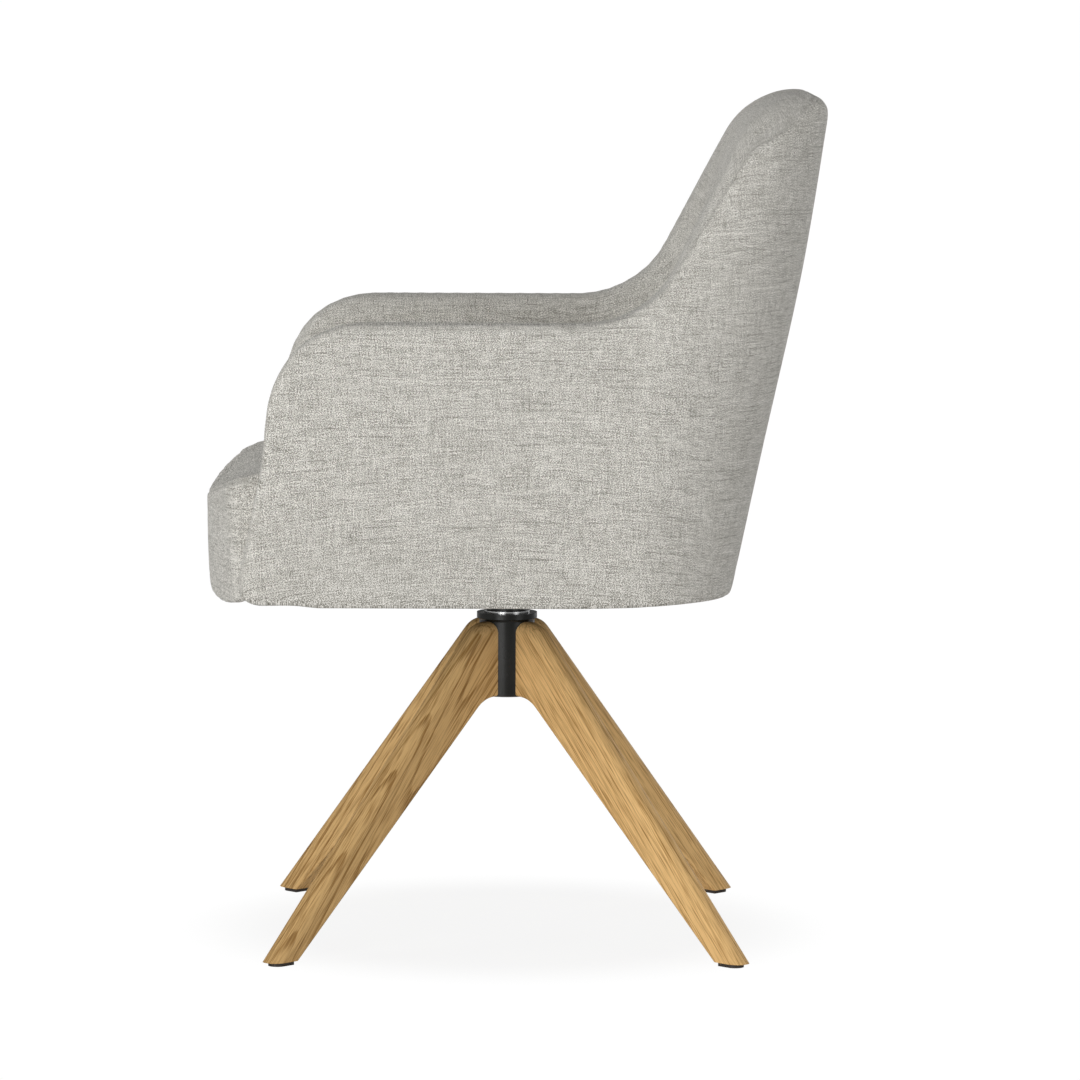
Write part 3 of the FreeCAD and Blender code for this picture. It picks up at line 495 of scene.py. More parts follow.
@dataclass(frozen=True)
class WovenCloth:
    """A plain-woven melange cloth of light and dark yarns with slubs."""

    name: str
    dark: Colour = (0.228, 0.218, 0.186)
    light: Colour = (0.866, 0.842, 0.788)
    yarn: float = 0.00145
    seed: float = 0.0
    drift: float = 0.006
    sway: float = 0.010
    middle: float = 0.48
    yarn_contrast: float = 2.8
    grit_contrast: float = 6.6
    # painted shade and light: yarns darker at their edges, lighter on their crowns
    painted_yarn_shading: float = 0.14
    slub_light: float = 0.36
    shade_dark: float = 0.42
    warp_dark: float = 0.22
    cloud_contrast: float = 0.08
    # painted shade: how much the seam's groove is darkened
    painted_seam_shade: float = 0.22
    roughness: float = 0.92
    depth: float = 0.0006
    relief: float = 0.45

    def material(self) -> bpy.types.Material:
        """Builds the material; each of its noises has its own seed and its own waves to the metre.

        Returns:
            The material, which reads the attributes cloth and seam, and darkens the seam's groove with
            painted shade.
        """
        graph = MaterialGraph(self.name)
        across, along, _ = graph.axes(graph.attribute("cloth").outputs["Vector"])
        seam = Channel(graph, graph.attribute("seam").outputs["Fac"])
        drift = graph.noise(across * 7, along * 7, self.seed + 40.0, 1.0)
        across = across + (drift - 0.5) * self.drift
        sway = graph.noise(across * 5, along * 9, self.seed + 50.0, 1.0)
        along = along + (sway - 0.5) * self.sway
        warp_count = across / self.yarn
        weft_count = along / self.yarn
        warp_yarn = warp_count.floor()
        weft_yarn = weft_count.floor()
        weft_tone = graph.noise(across * 60, weft_yarn * 1.7, self.seed, 3.0) - 0.5
        warp_tone = graph.noise(warp_yarn * 1.7, along * 75, self.seed + 20.0, 3.0) - 0.5
        grit = graph.noise(across * 1150, along * 1250, self.seed + 30.0, 1.0) - 0.5
        slub = graph.noise(across * 6, along * 400, self.seed + 60.0, 1.0).above(0.64, 0.75)
        shade = graph.noise(across * 14, along * 520, self.seed + 65.0, 1.0).above(0.58, 0.72)
        dark_warp = graph.noise(across * 480, along * 26, self.seed + 75.0, 1.0).above(0.60, 0.74)
        over = (warp_yarn + weft_yarn).modulo(2.0)
        weft_round = ((weft_count.part() - 0.5) * math.pi).size()
        warp_round = ((warp_count.part() - 0.5) * math.pi).size()
        hump = over * (1 - warp_round / 2) + (1 - over) * (1 - weft_round / 2)
        tone = over * warp_tone + (1 - over) * weft_tone
        cloud = graph.noise(across * 9, along * 9, self.seed + 70.0) - 0.5
        mixed = tone * self.yarn_contrast + grit * self.grit_contrast + self.middle
        # Painted shade and light: each yarn is darker at its edges and lighter on its crown, standing in
        # for light falling on the round yarns.
        mixed = mixed + (hump - 0.6) * self.painted_yarn_shading + slub * self.slub_light
        mixed = mixed - shade * self.shade_dark - dark_warp * self.warp_dark + cloud * self.cloud_contrast
        colour = graph.blend(mixed, self.dark, self.light)
        # Painted shade: the seam's pressed groove is darkened towards the dark yarn, standing in for the
        # shade inside it.
        colour = graph.blend(seam * self.painted_seam_shade, colour, tuple(part * 0.8 for part in self.dark))
        graph.surface(
            colour,
            self.roughness,
            {"Sheen Weight": 0.12, "Sheen Roughness": 0.6, "Specular IOR Level": 0.25},
        )
        graph.relief(hump * 0.5 + grit * 0.8 + slub * 0.3, self.depth, self.relief)
        return graph.material


class Figure(Enum):
    """Where the tree's heart lies beside a leg: across its width, its thickness, and its slope."""

    STRAIGHT = (0.060, 0.090, 0.015)
    CATHEDRAL = (0.212, -0.024, 0.034)


@dataclass(frozen=True)
class Oak:
    """Matt lacquered oak with its grain along one leg, whose turn and lean are in degrees."""

    name: str
    turn: float
    figure: Figure
    seed: float
    # shade is painted light: one brightness for each leg, standing in for how the light falls on it
    shade: float
    bands: float = 0.70
    lean: float = 41.06
    ring: float = 0.0040
    sway: float = 0.016
    wobble: float = 0.25
    early_rise: Span = (0.03, 0.32)
    early_end: Span = (0.93, 1.0)
    fibre_contrast: float = 3.0
    streak_contrast: float = 1.5
    broad_contrast: float = 0.9
    middle: float = 0.12
    fleck_light: float = 0.16
    roughness: float = 0.58
    depth: float = 0.00022
    pale: Colour = (0.668, 0.430, 0.184)
    brown: Colour = (0.318, 0.172, 0.054)
    pore: Colour = (0.190, 0.098, 0.032)

    def with_painted_light(self, colour: Colour) -> Colour:
        """Makes a colour lighter or darker by this leg's shade, painted light that stands in for how the
        light falls on the leg.
        """
        return tuple(part * self.shade for part in colour)

    def material(self) -> bpy.types.Material:
        """Builds the material for the leg that stands at this finish's turn.

        Returns:
            The material, whose grain runs from the hub to the foot.
        """
        graph = MaterialGraph(self.name)
        upright = graph.object_place((0.0, 0.0, -math.radians(self.turn)))
        leaned = graph.turned(upright, (0.0, math.radians(self.lean), 0.0))
        wide, thick, long = graph.axes(leaned)
        sway = (graph.noise(wide * 5, thick * 5, long * 2.6 + self.seed, 1.0) - 0.5) * self.sway
        heart_x, heart_y, slope = self.figure.value
        from_heart_x = wide - heart_x + sway
        from_heart_y = thick - heart_y - long * slope
        reach = (from_heart_x * from_heart_x + from_heart_y * from_heart_y).root()
        wobble = graph.noise(wide * 60, thick * 60, long * 9 + self.seed + 12.0, 1.0) - 0.5
        rings = (reach / self.ring + wobble * self.wobble).part()
        early = 1 - rings.above(*self.early_rise) + rings.above(*self.early_end)
        broad = graph.noise(wide * 30, thick * 30, long * 2.4 + self.seed + 5.0) - 0.5
        fibre = graph.noise(wide * 900, thick * 900, long * 30 + self.seed)
        streak = graph.noise(wide * 360, thick * 360, long * 4 + self.seed + 3.0) - 0.5
        vessel = graph.noise(wide * 1000, thick * 1000, long * 26 + self.seed + 8.0, 1.0).above(0.55, 0.68)
        fleck = graph.noise(wide * 120, thick * 420, long * 35 + self.seed + 2.0, 1.0).above(0.70, 0.78)
        tone = early * self.bands + (fibre - 0.5) * self.fibre_contrast
        tone = tone + streak * self.streak_contrast + broad * self.broad_contrast + self.middle
        # Painted light: the leg's colours are made lighter or darker by its shade.
        pale = self.with_painted_light(self.pale)
        colour = graph.blend(tone, pale, self.with_painted_light(self.brown))
        colour = graph.blend(vessel * (0.30 + early * self.bands * 0.6), colour, self.with_painted_light(self.pore))
        colour = graph.blend(fleck * self.fleck_light, colour, tuple(min(part * 1.2, 1.0) for part in pale))
        graph.surface(colour, self.roughness + vessel * 0.12, {"Specular IOR Level": 0.10})
        graph.relief((1 - vessel * 0.7) * 0.7 + fibre * 0.3, self.depth, 0.5)
        return graph.material


@dataclass(frozen=True)
class PaintedSteel:
    """Steel with a fine-textured satin powder coat."""

    name: str
    colour: Colour = (0.006, 0.006, 0.0045)
    worn: Colour = (0.014, 0.0135, 0.0105)
    roughness: float = 0.26
    depth: float = 0.00008

    def material(self) -> bpy.types.Material:
        """Builds the material.

        Returns:
            The material.
        """
        graph = MaterialGraph(self.name)
        x, y, z = graph.axes(graph.object_place())
        grit = graph.noise(x * 1400, y * 1400, z * 1400)
        cloud = graph.noise(x * 30, y * 30, z * 30)
        colour = graph.blend(cloud.above(0.35, 0.75) * 0.5 + grit * 0.2, self.colour, self.worn)
        graph.surface(colour, self.roughness + (cloud - 0.5) * 0.08, {"Specular IOR Level": 0.32})
        graph.relief(grit, self.depth, 0.35)
        return graph.material


@dataclass(frozen=True)
class BareSteel:
    """Turned, ground or plated steel with fine tool marks round the upright axis."""

    name: str
    colour: Colour
    roughness: float
    depth: float = 0.00004

    def material(self) -> bpy.types.Material:
        """Builds the material.

        Returns:
            The material.
        """
        graph = MaterialGraph(self.name)
        x, y, z = graph.axes(graph.object_place())
        ring = (x * x + y * y).root()
        marks = graph.noise(ring * 2600, z * 2600)
        tint = graph.noise(x * 60, y * 60, z * 60)
        darker = tuple(part * 0.72 for part in self.colour)
        colour = graph.blend(marks * 0.4 + tint * 0.3, self.colour, darker)
        graph.surface(colour, self.roughness + (tint - 0.5) * 0.14, {"Metallic": 1.0})
        graph.relief(marks, self.depth, 0.3)
        return graph.material


@dataclass(frozen=True)
class Moulding:
    """Moulded plastic with a fine spark-eroded grain."""

    name: str
    colour: Colour
    roughness: float = 0.55
    depth: float = 0.00006

    def material(self) -> bpy.types.Material:
        """Builds the material.

        Returns:
            The material.
        """
        graph = MaterialGraph(self.name)
        x, y, z = graph.axes(graph.object_place())
        grain = graph.noise(x * 1800, y * 1800, z * 1800)
        cloud = graph.noise(x * 45, y * 45, z * 45)
        lighter = tuple(min(part * 1.5 + 0.012, 1.0) for part in self.colour)
        colour = graph.blend(grain * 0.3 + cloud * 0.35, self.colour, lighter)
        graph.surface(colour, self.roughness + (cloud - 0.5) * 0.1)
        graph.relief(grain, self.depth, 0.4)
        return graph.material


@dataclass(frozen=True)
class SpunCloth:
    """Thin black bonded cloth with a grid of pressed dimples."""

    name: str
    colour: Colour = (0.020, 0.020, 0.021)
    pitch: float = 0.0022
    roughness: float = 0.85
    depth: float = 0.0002

    def material(self) -> bpy.types.Material:
        """Builds the material.

        Returns:
            The material.
        """
        graph = MaterialGraph(self.name)
        x, y, _ = graph.axes(graph.object_place())
        turns = math.tau / self.pitch
        dimple = ((x * turns).sine() * (y * turns).sine()).size()
        fibres = graph.noise(x * 420, y * 420, 3.0)
        lighter = tuple(part * 2.2 for part in self.colour)
        graph.surface(graph.blend(fibres * 0.5 + dimple * 0.3, self.colour, lighter), self.roughness)
        graph.relief((1 - dimple) * 0.7 + fibres * 0.3, self.depth, 0.5)
        return graph.material


@dataclass(frozen=True)
class Plywood:
    """Raw birch plywood, with its layers showing at the edges."""

    name: str
    pale: Colour = (0.56, 0.40, 0.24)
    brown: Colour = (0.34, 0.21, 0.11)
    layer: float = 0.0016
    roughness: float = 0.75
    depth: float = 0.0002

    def material(self) -> bpy.types.Material:
        """Builds the material.

        Returns:
            The material.
        """
        graph = MaterialGraph(self.name)
        x, y, z = graph.axes(graph.object_place())
        sheets = (z / (2 * self.layer)).part().above(0.45, 0.55)
        grain = graph.noise(x * 8, y * 160, z * 160)
        colour = graph.blend(sheets * 0.3 + (grain - 0.2) * 0.7, self.pale, self.brown)
        graph.surface(colour, self.roughness)
        graph.relief(grain, self.depth, 0.3)
        return graph.material


# Upholstery


@dataclass
class ArmchairTub:
    """The upholstered tub: outer panel, rolled rim, arms and back in one cloth cover."""

    frame: dict
    cloth: WovenCloth
    fine_voxel: float = 0.0030
    rounding: int = 14
    voxel: float = 0.0055
    lining_rounding: int = 14
    half_width: float = 0.258
    rear: float = 0.285
    corner: float = 0.122
    lining_start: float = 1.25
    lining_inset: Span = (0.010, 0.030)
    swell_inset: Span = (0.045, 0.100)
    swell_height: Span = (0.42, 0.50)
    swell_cap: float = 0.006
    seam_depth: float = 0.0016
    seam_inset: float = 0.0085
    seam_width: float = 0.0014
    pucker_depth: float = 0.00045
    pucker_pitch: float = 0.019
    front_draw: float = 0.005
    rear_draw: float = 0.006
    hem_drop: float = 0.006
    rear_hem_share: float = 0.55
    toe_rounding: int = 40
    foot_push: float = 0.009
    hem: float = 0.360
    rear_foot: float = 0.245
    rear_slope: float = 0.155
    wing_draw: float = 0.006
    thread_bow: float = 0.015
    board_wrap: float = 0.003
    arm_front: Zone = ((Y, -0.14, -0.22), (Z, 0.45, 0.50), (Z, 0.64, 0.56))
    arm_foot: Zone = ((Z, 0.46, 0.37), (Y, -0.20, -0.24))
    toes: Zone = ((X, 0.205, 0.225), (Y, -0.18, -0.21), (Z, 0.44, 0.40))
    rear_low: Zone = ((Y, 0.08, 0.20), (Z, 0.70, 0.40))
    wing: Zone = ((Z, 0.60, 0.68),)
    wing_ahead: Span = (0.02, 0.07)
    board_front: Zone = ((Z, 0.385, 0.378), (Y, -0.235, -0.245), (X, 0.243, 0.234))
    board_under: Zone = ((Z, 0.374, 0.368),)
    board_hem: Zone = ((Z, 0.40, 0.36),)
    board_past: Span = (0.009, 0.004)
    sheet_past: Span = (0.006, 0.001)
    plate_reach: Span = (0.135, 0.125)
    hem_front: Zone = ((Y, 0.20, 0.05),)
    seam_rise: Zone = ((Z, 0.362, 0.374),)
    pucker_start: Span = (0.009, 0.013)
    pucker_end: Span = (0.020, 0.045)
    front_facing: Span = (0.55, 0.90)
    lining_foot: float = 0.40
    bow_reach: float = 0.2
    bow_depth: float = 0.05
    bow_fall: Zone = ((Z, 0.58, 0.42),)
    nodes: tuple[str, ...] = ("tub_cover", "tub_frame", "edge_roll", "tub_padding")

    def around(self, spots: np.ndarray) -> tuple[np.ndarray, np.ndarray]:
        """Measures places round the tub's plan.

        Args:
            spots: Rows of x, y and z.

        Returns:
            The distance along the plan from the middle of the rear, and the distance in from it.
        """
        side_x = self.half_width - self.corner
        rear_y = self.rear - self.corner
        x, y = np.abs(spots[:, X]), spots[:, Y]
        turn = np.arctan2(np.maximum(x - side_x, 0), np.maximum(y - rear_y, 1e-9))
        radius = np.hypot(np.maximum(x - side_x, 0), np.maximum(y - rear_y, 0))
        beside, behind = y <= rear_y, x <= side_x
        bend = np.where(behind, x, side_x + self.corner * turn)
        along = np.where(beside, side_x + self.corner * math.pi / 2 + rear_y - y, bend)
        past_bend = np.where(behind, self.rear - y, self.corner - radius)
        inward = np.where(beside, self.half_width - x, past_bend)
        return along * np.sign(spots[:, X]), inward

    def outward(self, middle: Vector, normal: Vector) -> bool:
        """Tells whether a face of the cover lies on the outside of the tub.

        Args:
            middle: The face's middle.
            normal: The face's normal.

        Returns:
            True for a face that looks away from the tub's inside.
        """
        side_x = self.half_width - self.corner
        rear_y = self.rear - self.corner
        past_side = math.copysign(max(abs(middle.x) - side_x, 0), middle.x)
        away = Vector((past_side, max(middle.y - rear_y, 0), 0))
        return away.length > 0 and normal.dot(away.normalized()) > 0.5

    def build(self) -> bpy.types.Object:
        """Makes the tub from its solids: merged, rounded, swelled and sewn.

        Returns:
            The finished piece.
        """
        piece = merged_copy("tub_upholstery", [*self.nodes, "bottom_board"], self.frame)
        cover = self.frame["nodes"]["tub_cover"]
        finish_modifier(piece, "REMESH", mode="VOXEL", voxel_size=self.fine_voxel, adaptivity=0.0)
        finish_modifier(piece, "SMOOTH", factor=0.5, iterations=self.rounding)
        finish_modifier(piece, "REMESH", mode="VOXEL", voxel_size=self.voxel, adaptivity=0.0)
        inset = inset_from(cover, self.outward, places(piece))
        put_group(piece, "lining", ramp(inset, *self.lining_inset))
        finish_modifier(piece, "SMOOTH", factor=0.5, iterations=2)
        finish_modifier(piece, "SMOOTH", factor=0.5, iterations=self.lining_rounding, vertex_group="lining")
        self.swell(piece, inset)
        finish_modifier(piece, "SUBSURF", levels=1, render_levels=1)
        finish_modifier(piece, "SMOOTH", factor=0.5, iterations=2)
        inset = inset_from(cover, self.outward, places(piece))
        self.ease(piece)
        self.sew(piece, inset)
        self.dress(piece, inset)
        return piece

    def ease(self, piece: bpy.types.Object) -> None:
        """Draws the cloth in at the arms' fronts, the wings and the rear's foot, and round the board.

        Args:
            piece: The tub.
        """
        spots = places(piece)
        start = np.column_stack([np.abs(spots[:, X]), spots[:, Y], spots[:, Z]])
        spots[:, Y] += self.front_draw * within(start, self.arm_front)
        spots[:, Y] -= self.rear_draw * within(start, self.rear_low)
        spots[:, Y] -= self.board_wrap * within(start, self.board_front)
        spots[:, Y] -= self.foot_push * within(start, self.arm_foot)
        self.wrap_board(spots, start)
        ahead = self.rear_foot + self.rear_slope * (start[:, Z] - self.hem) - start[:, Y]
        spots[:, Y] += self.wing_draw * within(start, self.wing) * ramp(ahead, *self.wing_ahead)
        move_to(piece, spots)
        put_group(piece, "toes", within(start, self.toes))
        finish_modifier(piece, "SMOOTH", factor=0.5, iterations=self.toe_rounding, vertex_group="toes")

    def wrap_board(self, spots: np.ndarray, start: np.ndarray) -> None:
        """Raises the cloth above the dust cover and the plate, and lowers the hem round them.

        Args:
            spots: The vertices' places, which this changes.
            start: Their places before the cloth was eased, mirrored to one side.
        """
        past_board = self.off_sheet("bottom_board", spots)
        past_sheet = self.off_sheet("dust_cover", spots)
        near_plate = ramp(np.hypot(start[:, X], start[:, Y]), *self.plate_reach)
        hidden = np.maximum(ramp(past_sheet, *self.sheet_past), near_plate)
        under = within(start, self.board_under) * hidden
        hem = within(start, self.board_hem) * (1 - under) * ramp(past_board, *self.board_past)
        share = self.rear_hem_share + (1 - self.rear_hem_share) * within(start, self.hem_front)
        spots[:, Z] += self.board_wrap * 2 * under - self.hem_drop * hem * share

    def off_sheet(self, node: str, spots: np.ndarray) -> np.ndarray:
        """Measures how far points stand out past a flat part's outline, seen from above.

        Args:
            node: The flat part's name.
            spots: The points.

        Returns:
            One distance in metres for each point.
        """
        solid = self.frame["nodes"][node]
        flattened = level(spots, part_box(node)[0][2])
        return inset_from(solid, lambda middle, normal: normal.z < -0.5, flattened)

    def swell(self, piece: bpy.types.Object, inset: np.ndarray) -> None:
        """Fills the lining like stuffed cloth and keeps the outer panel still.

        Args:
            piece: The tub.
            inset: How far each vertex lies from the outer panel.
        """
        spots = places(piece)
        low = 1 - ramp(spots[:, Z], *self.swell_height)
        held = np.maximum(1 - ramp(inset, *self.swell_inset), low)
        puff(piece, held, self.swell_cap)

    def sew(self, piece: bpy.types.Object, inset: np.ndarray) -> None:
        """Presses the seam between outer panel and lining into the rim.

        Args:
            piece: The tub.
            inset: How far each vertex lies from the outer panel.
        """
        spots = places(piece)
        above_hem = within(spots, self.seam_rise)
        line = np.exp(-(((inset - self.seam_inset) / self.seam_width) ** 2)) * above_hem
        along, _ = self.around(spots)
        uneven = 1.7 * np.sin(along * 31.0) + spots[:, Z] * 210.0
        pucker = 0.5 + 0.5 * np.sin(along * math.tau / self.pucker_pitch + uneven)
        near = ramp(inset, *self.pucker_start) * (1 - ramp(inset, *self.pucker_end)) * above_hem
        push = line * self.seam_depth + near * pucker * self.pucker_depth
        move_to(piece, spots - normals(piece) * push[:, None])
        # The seam weight also darkens the cloth in the groove: painted shade.
        put_attribute(piece, "seam", "FLOAT", np.clip(line, 0, 1))

    def dress(self, piece: bpy.types.Object, inset: np.ndarray) -> None:
        """Lays the cloth's threads round the tub and gives it its material.

        Args:
            piece: The tub.
            inset: How far each vertex lies from the outer panel.
        """
        spots = places(piece)
        facing = normals(piece)
        along, inward = self.around(spots)
        x, y, z = spots.T
        front = ramp(-facing[:, Y], *self.front_facing) * (y < 0)
        lining = (inset > self.seam_inset) & (z > self.lining_foot) & (front < 0.5)
        back = lining & (-facing[:, Y] > np.abs(facing[:, X])) & (y > 0)
        up = np.where(lining, self.lining_start - z + inward, z + inset * (1 - front))
        across = np.where(back, x, along + np.sign(x) * inward * front)
        pulled = (y / self.bow_reach) ** 2 * within(spots, self.bow_fall) * (inward < self.bow_depth)
        up = up + self.thread_bow * np.where(lining | (y > self.bow_reach), 0, pulled)
        put_attribute(piece, "cloth", "FLOAT_VECTOR", np.column_stack([across, up, np.zeros(len(up))]))
        piece.data.materials.append(self.cloth.material())
        pick(piece)
        bpy.ops.object.shade_smooth()
        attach(piece, "seat")
        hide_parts(*self.nodes)


@dataclass
class SeatCushion:
    """The seat: a dished top sewn to a bowed front that runs down over the board."""

    frame: dict
    cloth: WovenCloth
    fine_voxel: float = 0.0030
    rounding: int = 6
    voxel: float = 0.005
    swell_cap: float = 0.007
    crown_lift: float = 0.006
    nose_push: float = 0.004
    nose_drop: float = 0.011
    front: float = -0.3045
    seam_height: float = 0.455
    seam_depth: float = 0.0016
    seam_inset: float = 0.0035
    seam_width: float = 0.0018
    nose_radius: float = 0.022
    gather_depth: float = 0.0005
    gather_pitch: float = 0.013
    gather_start: Span = (0.004, 0.009)
    gather_end: Span = (0.020, 0.060)
    free_facing: Span = (0.3, 0.6)
    free_width: Span = (0.204, 0.190)
    free_front: Span = (-0.250, -0.200)
    crowned: Zone = ((Z, 0.40, 0.45), (Y, -0.12, -0.22))
    nose: Zone = ((Y, -0.20, -0.27),)
    nose_foot: Zone = ((Z, 0.42, 0.38), (Y, -0.245, -0.285))
    seam_rise: Zone = ((Z, 0.415, 0.430),)
    node: str = "seat_cushion"

    def build(self) -> bpy.types.Object:
        """Makes the cushion from its solid: rounded, swelled and sewn.

        Returns:
            The finished piece.
        """
        solid = self.frame["nodes"][self.node]
        piece = merged_copy("seat_upholstery", [self.node], self.frame)
        finish_modifier(piece, "REMESH", mode="VOXEL", voxel_size=self.fine_voxel, adaptivity=0.0)
        finish_modifier(piece, "SMOOTH", factor=0.5, iterations=self.rounding)
        finish_modifier(piece, "REMESH", mode="VOXEL", voxel_size=self.voxel, adaptivity=0.0)
        spots = places(piece)
        front = 1 - ramp(spots[:, Y], *self.free_front)
        top = ramp(normals(piece)[:, Z], *self.free_facing)
        free = np.maximum(top * ramp(np.abs(spots[:, X]), *self.free_width), front * 0.8)
        puff(piece, np.clip(1 - free, 0, 1), self.swell_cap)
        finish_modifier(piece, "SMOOTH", factor=0.5, iterations=2)
        finish_modifier(piece, "SUBSURF", levels=1, render_levels=1)
        self.crown(piece)
        self.sew(piece, solid)
        self.dress(piece)
        return piece

    def crown(self, piece: bpy.types.Object) -> None:
        """Lifts the front of the top, where the stuffing is firmest, and squares the nose's two edges.

        Args:
            piece: The cushion.
        """
        start = places(piece)
        spots = start.copy()
        at_seam = np.exp(-(((start[:, Z] - self.seam_height) / self.nose_radius) ** 2))
        spots[:, Z] += self.crown_lift * within(start, self.crowned)
        spots[:, Y] -= self.nose_push * at_seam * within(start, self.nose)
        spots[:, Z] -= self.nose_drop * within(start, self.nose_foot)
        move_to(piece, spots)

    def sew(self, piece: bpy.types.Object, solid: bpy.types.Object) -> None:
        """Presses the seam along the top of the nose, with the top gathered behind it.

        Args:
            piece: The cushion.
            solid: The cushion's solid.
        """
        spots = places(piece)
        inset = inset_from(solid, lambda middle, normal: middle.y < -0.2 and abs(normal.z) < 0.5, spots)
        upper = within(spots, self.seam_rise)
        line = np.exp(-(((inset - self.seam_inset) / self.seam_width) ** 2)) * upper
        uneven = 1.9 * np.sin(spots[:, X] * 47.0)
        gather = 0.5 + 0.5 * np.sin(spots[:, X] * math.tau / self.gather_pitch + uneven)
        near = ramp(inset, *self.gather_start) * (1 - ramp(inset, *self.gather_end)) * upper
        push = line * self.seam_depth + near * gather * self.gather_depth
        move_to(piece, spots - normals(piece) * push[:, None])
        # The seam weight also darkens the cloth in the groove: painted shade.
        put_attribute(piece, "seam", "FLOAT", np.clip(line, 0, 1))

    def dress(self, piece: bpy.types.Object) -> None:
        """Lays the cloth's threads over the cushion and gives it its material.

        Args:
            piece: The cushion.
        """
        x, y, z = places(piece).T
        top = normals(piece)[:, Z] > 0.55
        back = y - self.front
        across = np.where(top, x, x + np.sign(x) * back)
        up = np.where(top, back + self.seam_height, z)
        put_attribute(piece, "cloth", "FLOAT_VECTOR", np.column_stack([across, up, np.zeros(len(up))]))
        piece.data.materials.append(self.cloth.material())
        pick(piece)
        bpy.ops.object.shade_smooth()
        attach(piece, "seat")
        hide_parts(self.node)


@dataclass
class DustCover:
    """The thin black cloth stapled under the board, open round the seat plate."""

    frame: dict
    cloth: SpunCloth
    flat: tuple[float, float] = (0.4534, 0.4447)
    opening: float = 0.176
    ripple: float = 0.0005
    waves: Point = (170.0, 150.0, 60.0)
    node: str = "dust_cover"

    def build(self) -> bpy.types.Object:
        """Makes the sheet from its solid, lightly rippled between its staples.

        Returns:
            The finished piece.
        """
        piece = merged_copy("dust_sheet", [self.node], self.frame)
        finish_modifier(piece, "SUBSURF", subdivision_type="SIMPLE", levels=3, render_levels=3)
        spots = places(piece)
        x, y, _ = spots.T
        across, along, slanted = self.waves
        waves = np.sin(x * across) * np.sin(y * along) * np.sin((x + y) * slanted)
        spots[:, Z] -= self.ripple * np.abs(waves)
        move_to(piece, spots)
        piece.data.materials.append(self.cloth.material())
        pick(piece)
        bpy.ops.object.shade_smooth_by_angle(angle=math.radians(40))
        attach(piece, "seat")
        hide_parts(self.node)
        return piece


def evened(piece: bpy.types.Object, move: np.ndarray, passes: int = 30) -> np.ndarray:
    """Averages the vertices' moves with their neighbours', so that only broad swelling is left.

    Args:
        piece: The piece whose edges join the vertices.
        move: How far each vertex moves.
        passes: How many times the averaging is done.

    Returns:
        The evened moves.
    """
    ends = np.empty(len(piece.data.edges) * 2, np.int32)
    piece.data.edges.foreach_get("vertices", ends)
    first, second = ends.reshape(-1, 2).T
    count = np.bincount(ends, minlength=len(move))[:, None] + 1.0
    for _ in range(passes):
        total = move.copy()
        np.add.at(total, first, move[second])
        np.add.at(total, second, move[first])
        move = total / count
    return move


def puff(piece: bpy.types.Object, held: np.ndarray, cap: float, pressure: float = 4.0) -> None:
    """Swells a closed piece like stuffed cloth and applies the result.

    Args:
        piece: The piece.
        held: How firmly each vertex stays where it is, from 0 to 1.
        cap: How far a vertex may move, in metres.
        pressure: The pressure inside the cloth.
    """
    start = places(piece)
    put_group(piece, "held", held)
    pick(piece)
    cloth = piece.modifiers.new("Cloth", "CLOTH")
    cloth.settings.quality = 4
    cloth.settings.mass = 0.3
    cloth.settings.tension_stiffness = 15
    cloth.settings.compression_stiffness = 15
    cloth.settings.shear_stiffness = 5
    cloth.settings.bending_stiffness = 0.5
    cloth.settings.use_pressure = True
    cloth.settings.uniform_pressure_force = pressure
    cloth.settings.effector_weights.gravity = 0
    cloth.settings.vertex_group_mass = "held"
    cloth.collision_settings.use_collision = False
    cloth.point_cache.frame_start = 1
    cloth.point_cache.frame_end = CLOTH_FRAMES
    for step in range(1, CLOTH_FRAMES + 1):
        bpy.context.scene.frame_set(step)
    bpy.ops.object.modifier_apply(modifier=cloth.name)
    bpy.context.scene.frame_set(1)
    move = evened(piece, places(piece) - start)
    far = np.linalg.norm(move, axis=1)
    move_to(piece, start + move * np.minimum(1, cap / np.maximum(far, 1e-9))[:, None])


# The rigid parts


